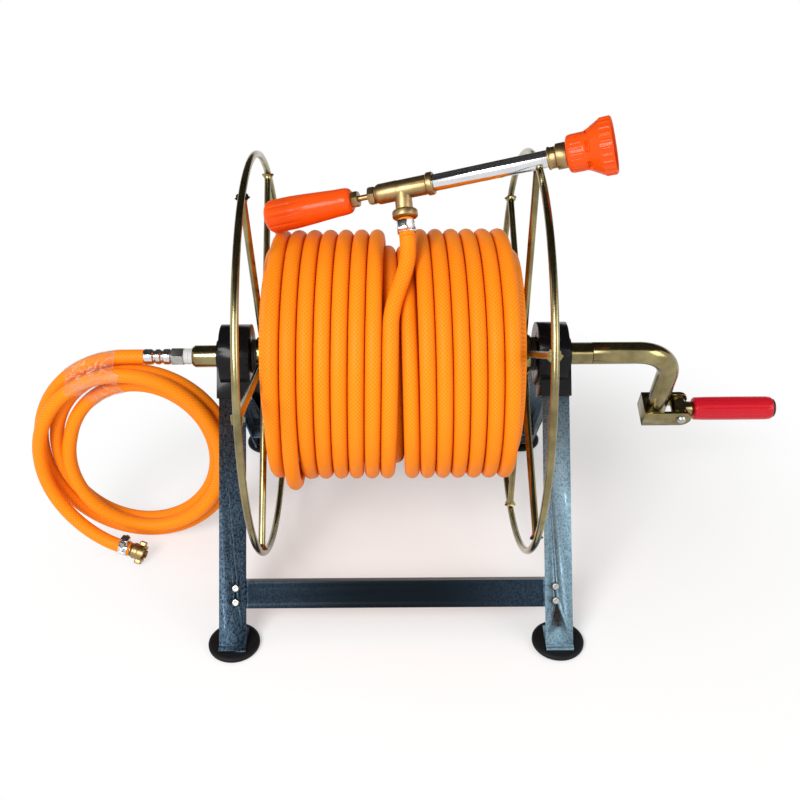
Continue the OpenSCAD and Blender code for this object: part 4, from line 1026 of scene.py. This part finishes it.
# Crease lines, near white and more opaque: painted glints.
crease = 1 - (ridges - 0.5).size().step(0.0, 0.03)
# Cloudy patches of brownish painted shade.
painted_shade_haze = clear.noise(1.0, 2, where=clear.mapped((9, 6, 1))).step(0.4, 0.75)
clear.feed("Base Color", clear.blend(crease, (0.50, 0.27, 0.17), (1.0, 0.92, 0.80)))
clear.feed("Alpha", 0.03 + painted_shade_haze * 0.20 + crease * 0.16)
clear.feed("Roughness", 0.20 + crease * 0.1)
clear.bumps(ridges, 0.0008, 0.8)
finish["clear_tape"] = clear.material
print("finishes:", len(finish))

# %% [markdown]
# Every piece, and every solid part that is still shown, gets the finish of its slot. The sealing
# tape is the one piece with a finish of its own, since no solid part stands for it.

# %% Dressing every piece
finished["sealing_tape"] = "sealing_tape"
for name, slot in finished.items():
    bpy.data.objects[name].data.materials.append(finish[slot])
for name, node in nodes.items():
    for held in node.material_slots:
        held.material = finish[slot_of[name]]
print("pieces:", len(finished), "solid parts still shown:",
      sorted(name for name, node in nodes.items() if not node.hide_render))

# %% [markdown]
# The reel stands on a pale floor. Where it is looked at or mirrored, the floor fades to white
# further out, so that it has no far edge, while the light that it throws up stays plain. A dark
# panel leans over from behind. Only reflections see it: they give metal its dark band beside a
# white one.

# %% Floor and dark panel
def staged(name, corners, faces, paint):
    """A mesh beside the object, with its own paint, that isn't part of it."""
    mesh = bpy.data.meshes.new(name)
    mesh.from_pydata(corners, [], faces)
    mesh.materials.append(paint.material)
    thing = bpy.data.objects.new(name, mesh)
    bpy.context.scene.collection.objects.link(thing)


REACH, FLOOR_Z = 6.0, -0.0006
pale = Paint("pale_floor", Roughness=0.9, Specular_IOR_Level=0.1)
pale.feed("Base Color", pale.blend(pale.noise(3, 2), (0.90, 0.90, 0.89), (0.94, 0.94, 0.935)))
far_off = pale.node("ShaderNodeVectorMath", {"operation": "LENGTH"}, {0: pale.place()}, "Value")
fade = pale.seen() * (far_off.step(0.2, 0.5) * 0.65 + 0.35)
white = pale.node("ShaderNodeEmission", None, {"Color": (1, 1, 1, 1), "Strength": 1.0})
pale.end_in(pale.mixed(fade, pale.own, white))
staged("floor", [(-REACH, -REACH, FLOOR_Z), (REACH, -REACH, FLOOR_Z), (REACH, REACH, FLOOR_Z),
                 (-REACH, REACH, FLOOR_Z)], [(0, 1, 2, 3)], pale)

PANEL_EDGES = [(1.4, 0.45), (0.3, 2.1), (-1.5, 2.3)]
dark = Paint("panel_grey", Roughness=1.0, Base_Color=(0.035, 0.033, 0.03, 1))
mirrored = dark.node("ShaderNodeLightPath", out="Is Glossy Ray")
dark.end_in(dark.mixed(mirrored, dark.node("ShaderNodeBsdfTransparent"), dark.own))
staged("dark_panel", [(x, y, z) for y, z in PANEL_EDGES for x in (-3, 3)],
       [(0, 1, 3, 2), (2, 3, 5, 4)], dark)
print("floor", 2 * REACH, "m wide, panel up to", PANEL_EDGES[-1][1], "m high")

# %% [markdown]
# The light is a soft studio's: a wide lamp in front and to the left, a weaker one at the right, and
# an even sky. The sky is pure white only where it is looked at or mirrored, so the background is
# white while the light on the object stays plain.

# %% Lamps and sky
def lamp(name, spot, target, size, watts):
    """A square area lamp that looks from one point to another."""
    light = bpy.data.lights.new(name, "AREA")
    light.shape, light.size, light.energy = "SQUARE", size, watts
    holder = bpy.data.objects.new(name, light)
    back = unit(np.array(spot, float) - np.array(target, float))
    side_way = unit(np.cross([0, 0, 1.0], back))
    pose = np.eye(4)
    pose[:3] = np.stack([side_way, np.cross(back, side_way), back, spot], -1)
    holder.matrix_world = Matrix(pose.tolist())
    bpy.context.scene.collection.objects.link(holder)


lamp("key", (-0.9, -1.5, 1.4), (0, 0, 0.2), 0.9, 36)
lamp("fill", (1.6, -0.9, 1.0), (0, 0, 0.2), 1.0, 10)
world = bpy.data.worlds.new("studio")
bpy.context.scene.world = world
world.use_nodes = True
world.node_tree.nodes.clear()
sky = Nodes(world.node_tree)
plain_sky, white_sky = (sky.node("ShaderNodeBackground", None, {
    "Color": (1, 1, 1, 1), "Strength": strength}) for strength in (0.5, 1.0))
both = sky.mixed(sky.seen(), plain_sky, white_sky)
sky.tree.links.new(both.socket, sky.tree.nodes.new("ShaderNodeOutputWorld").inputs["Surface"])
bpy.context.scene.view_settings.view_transform = "Standard"
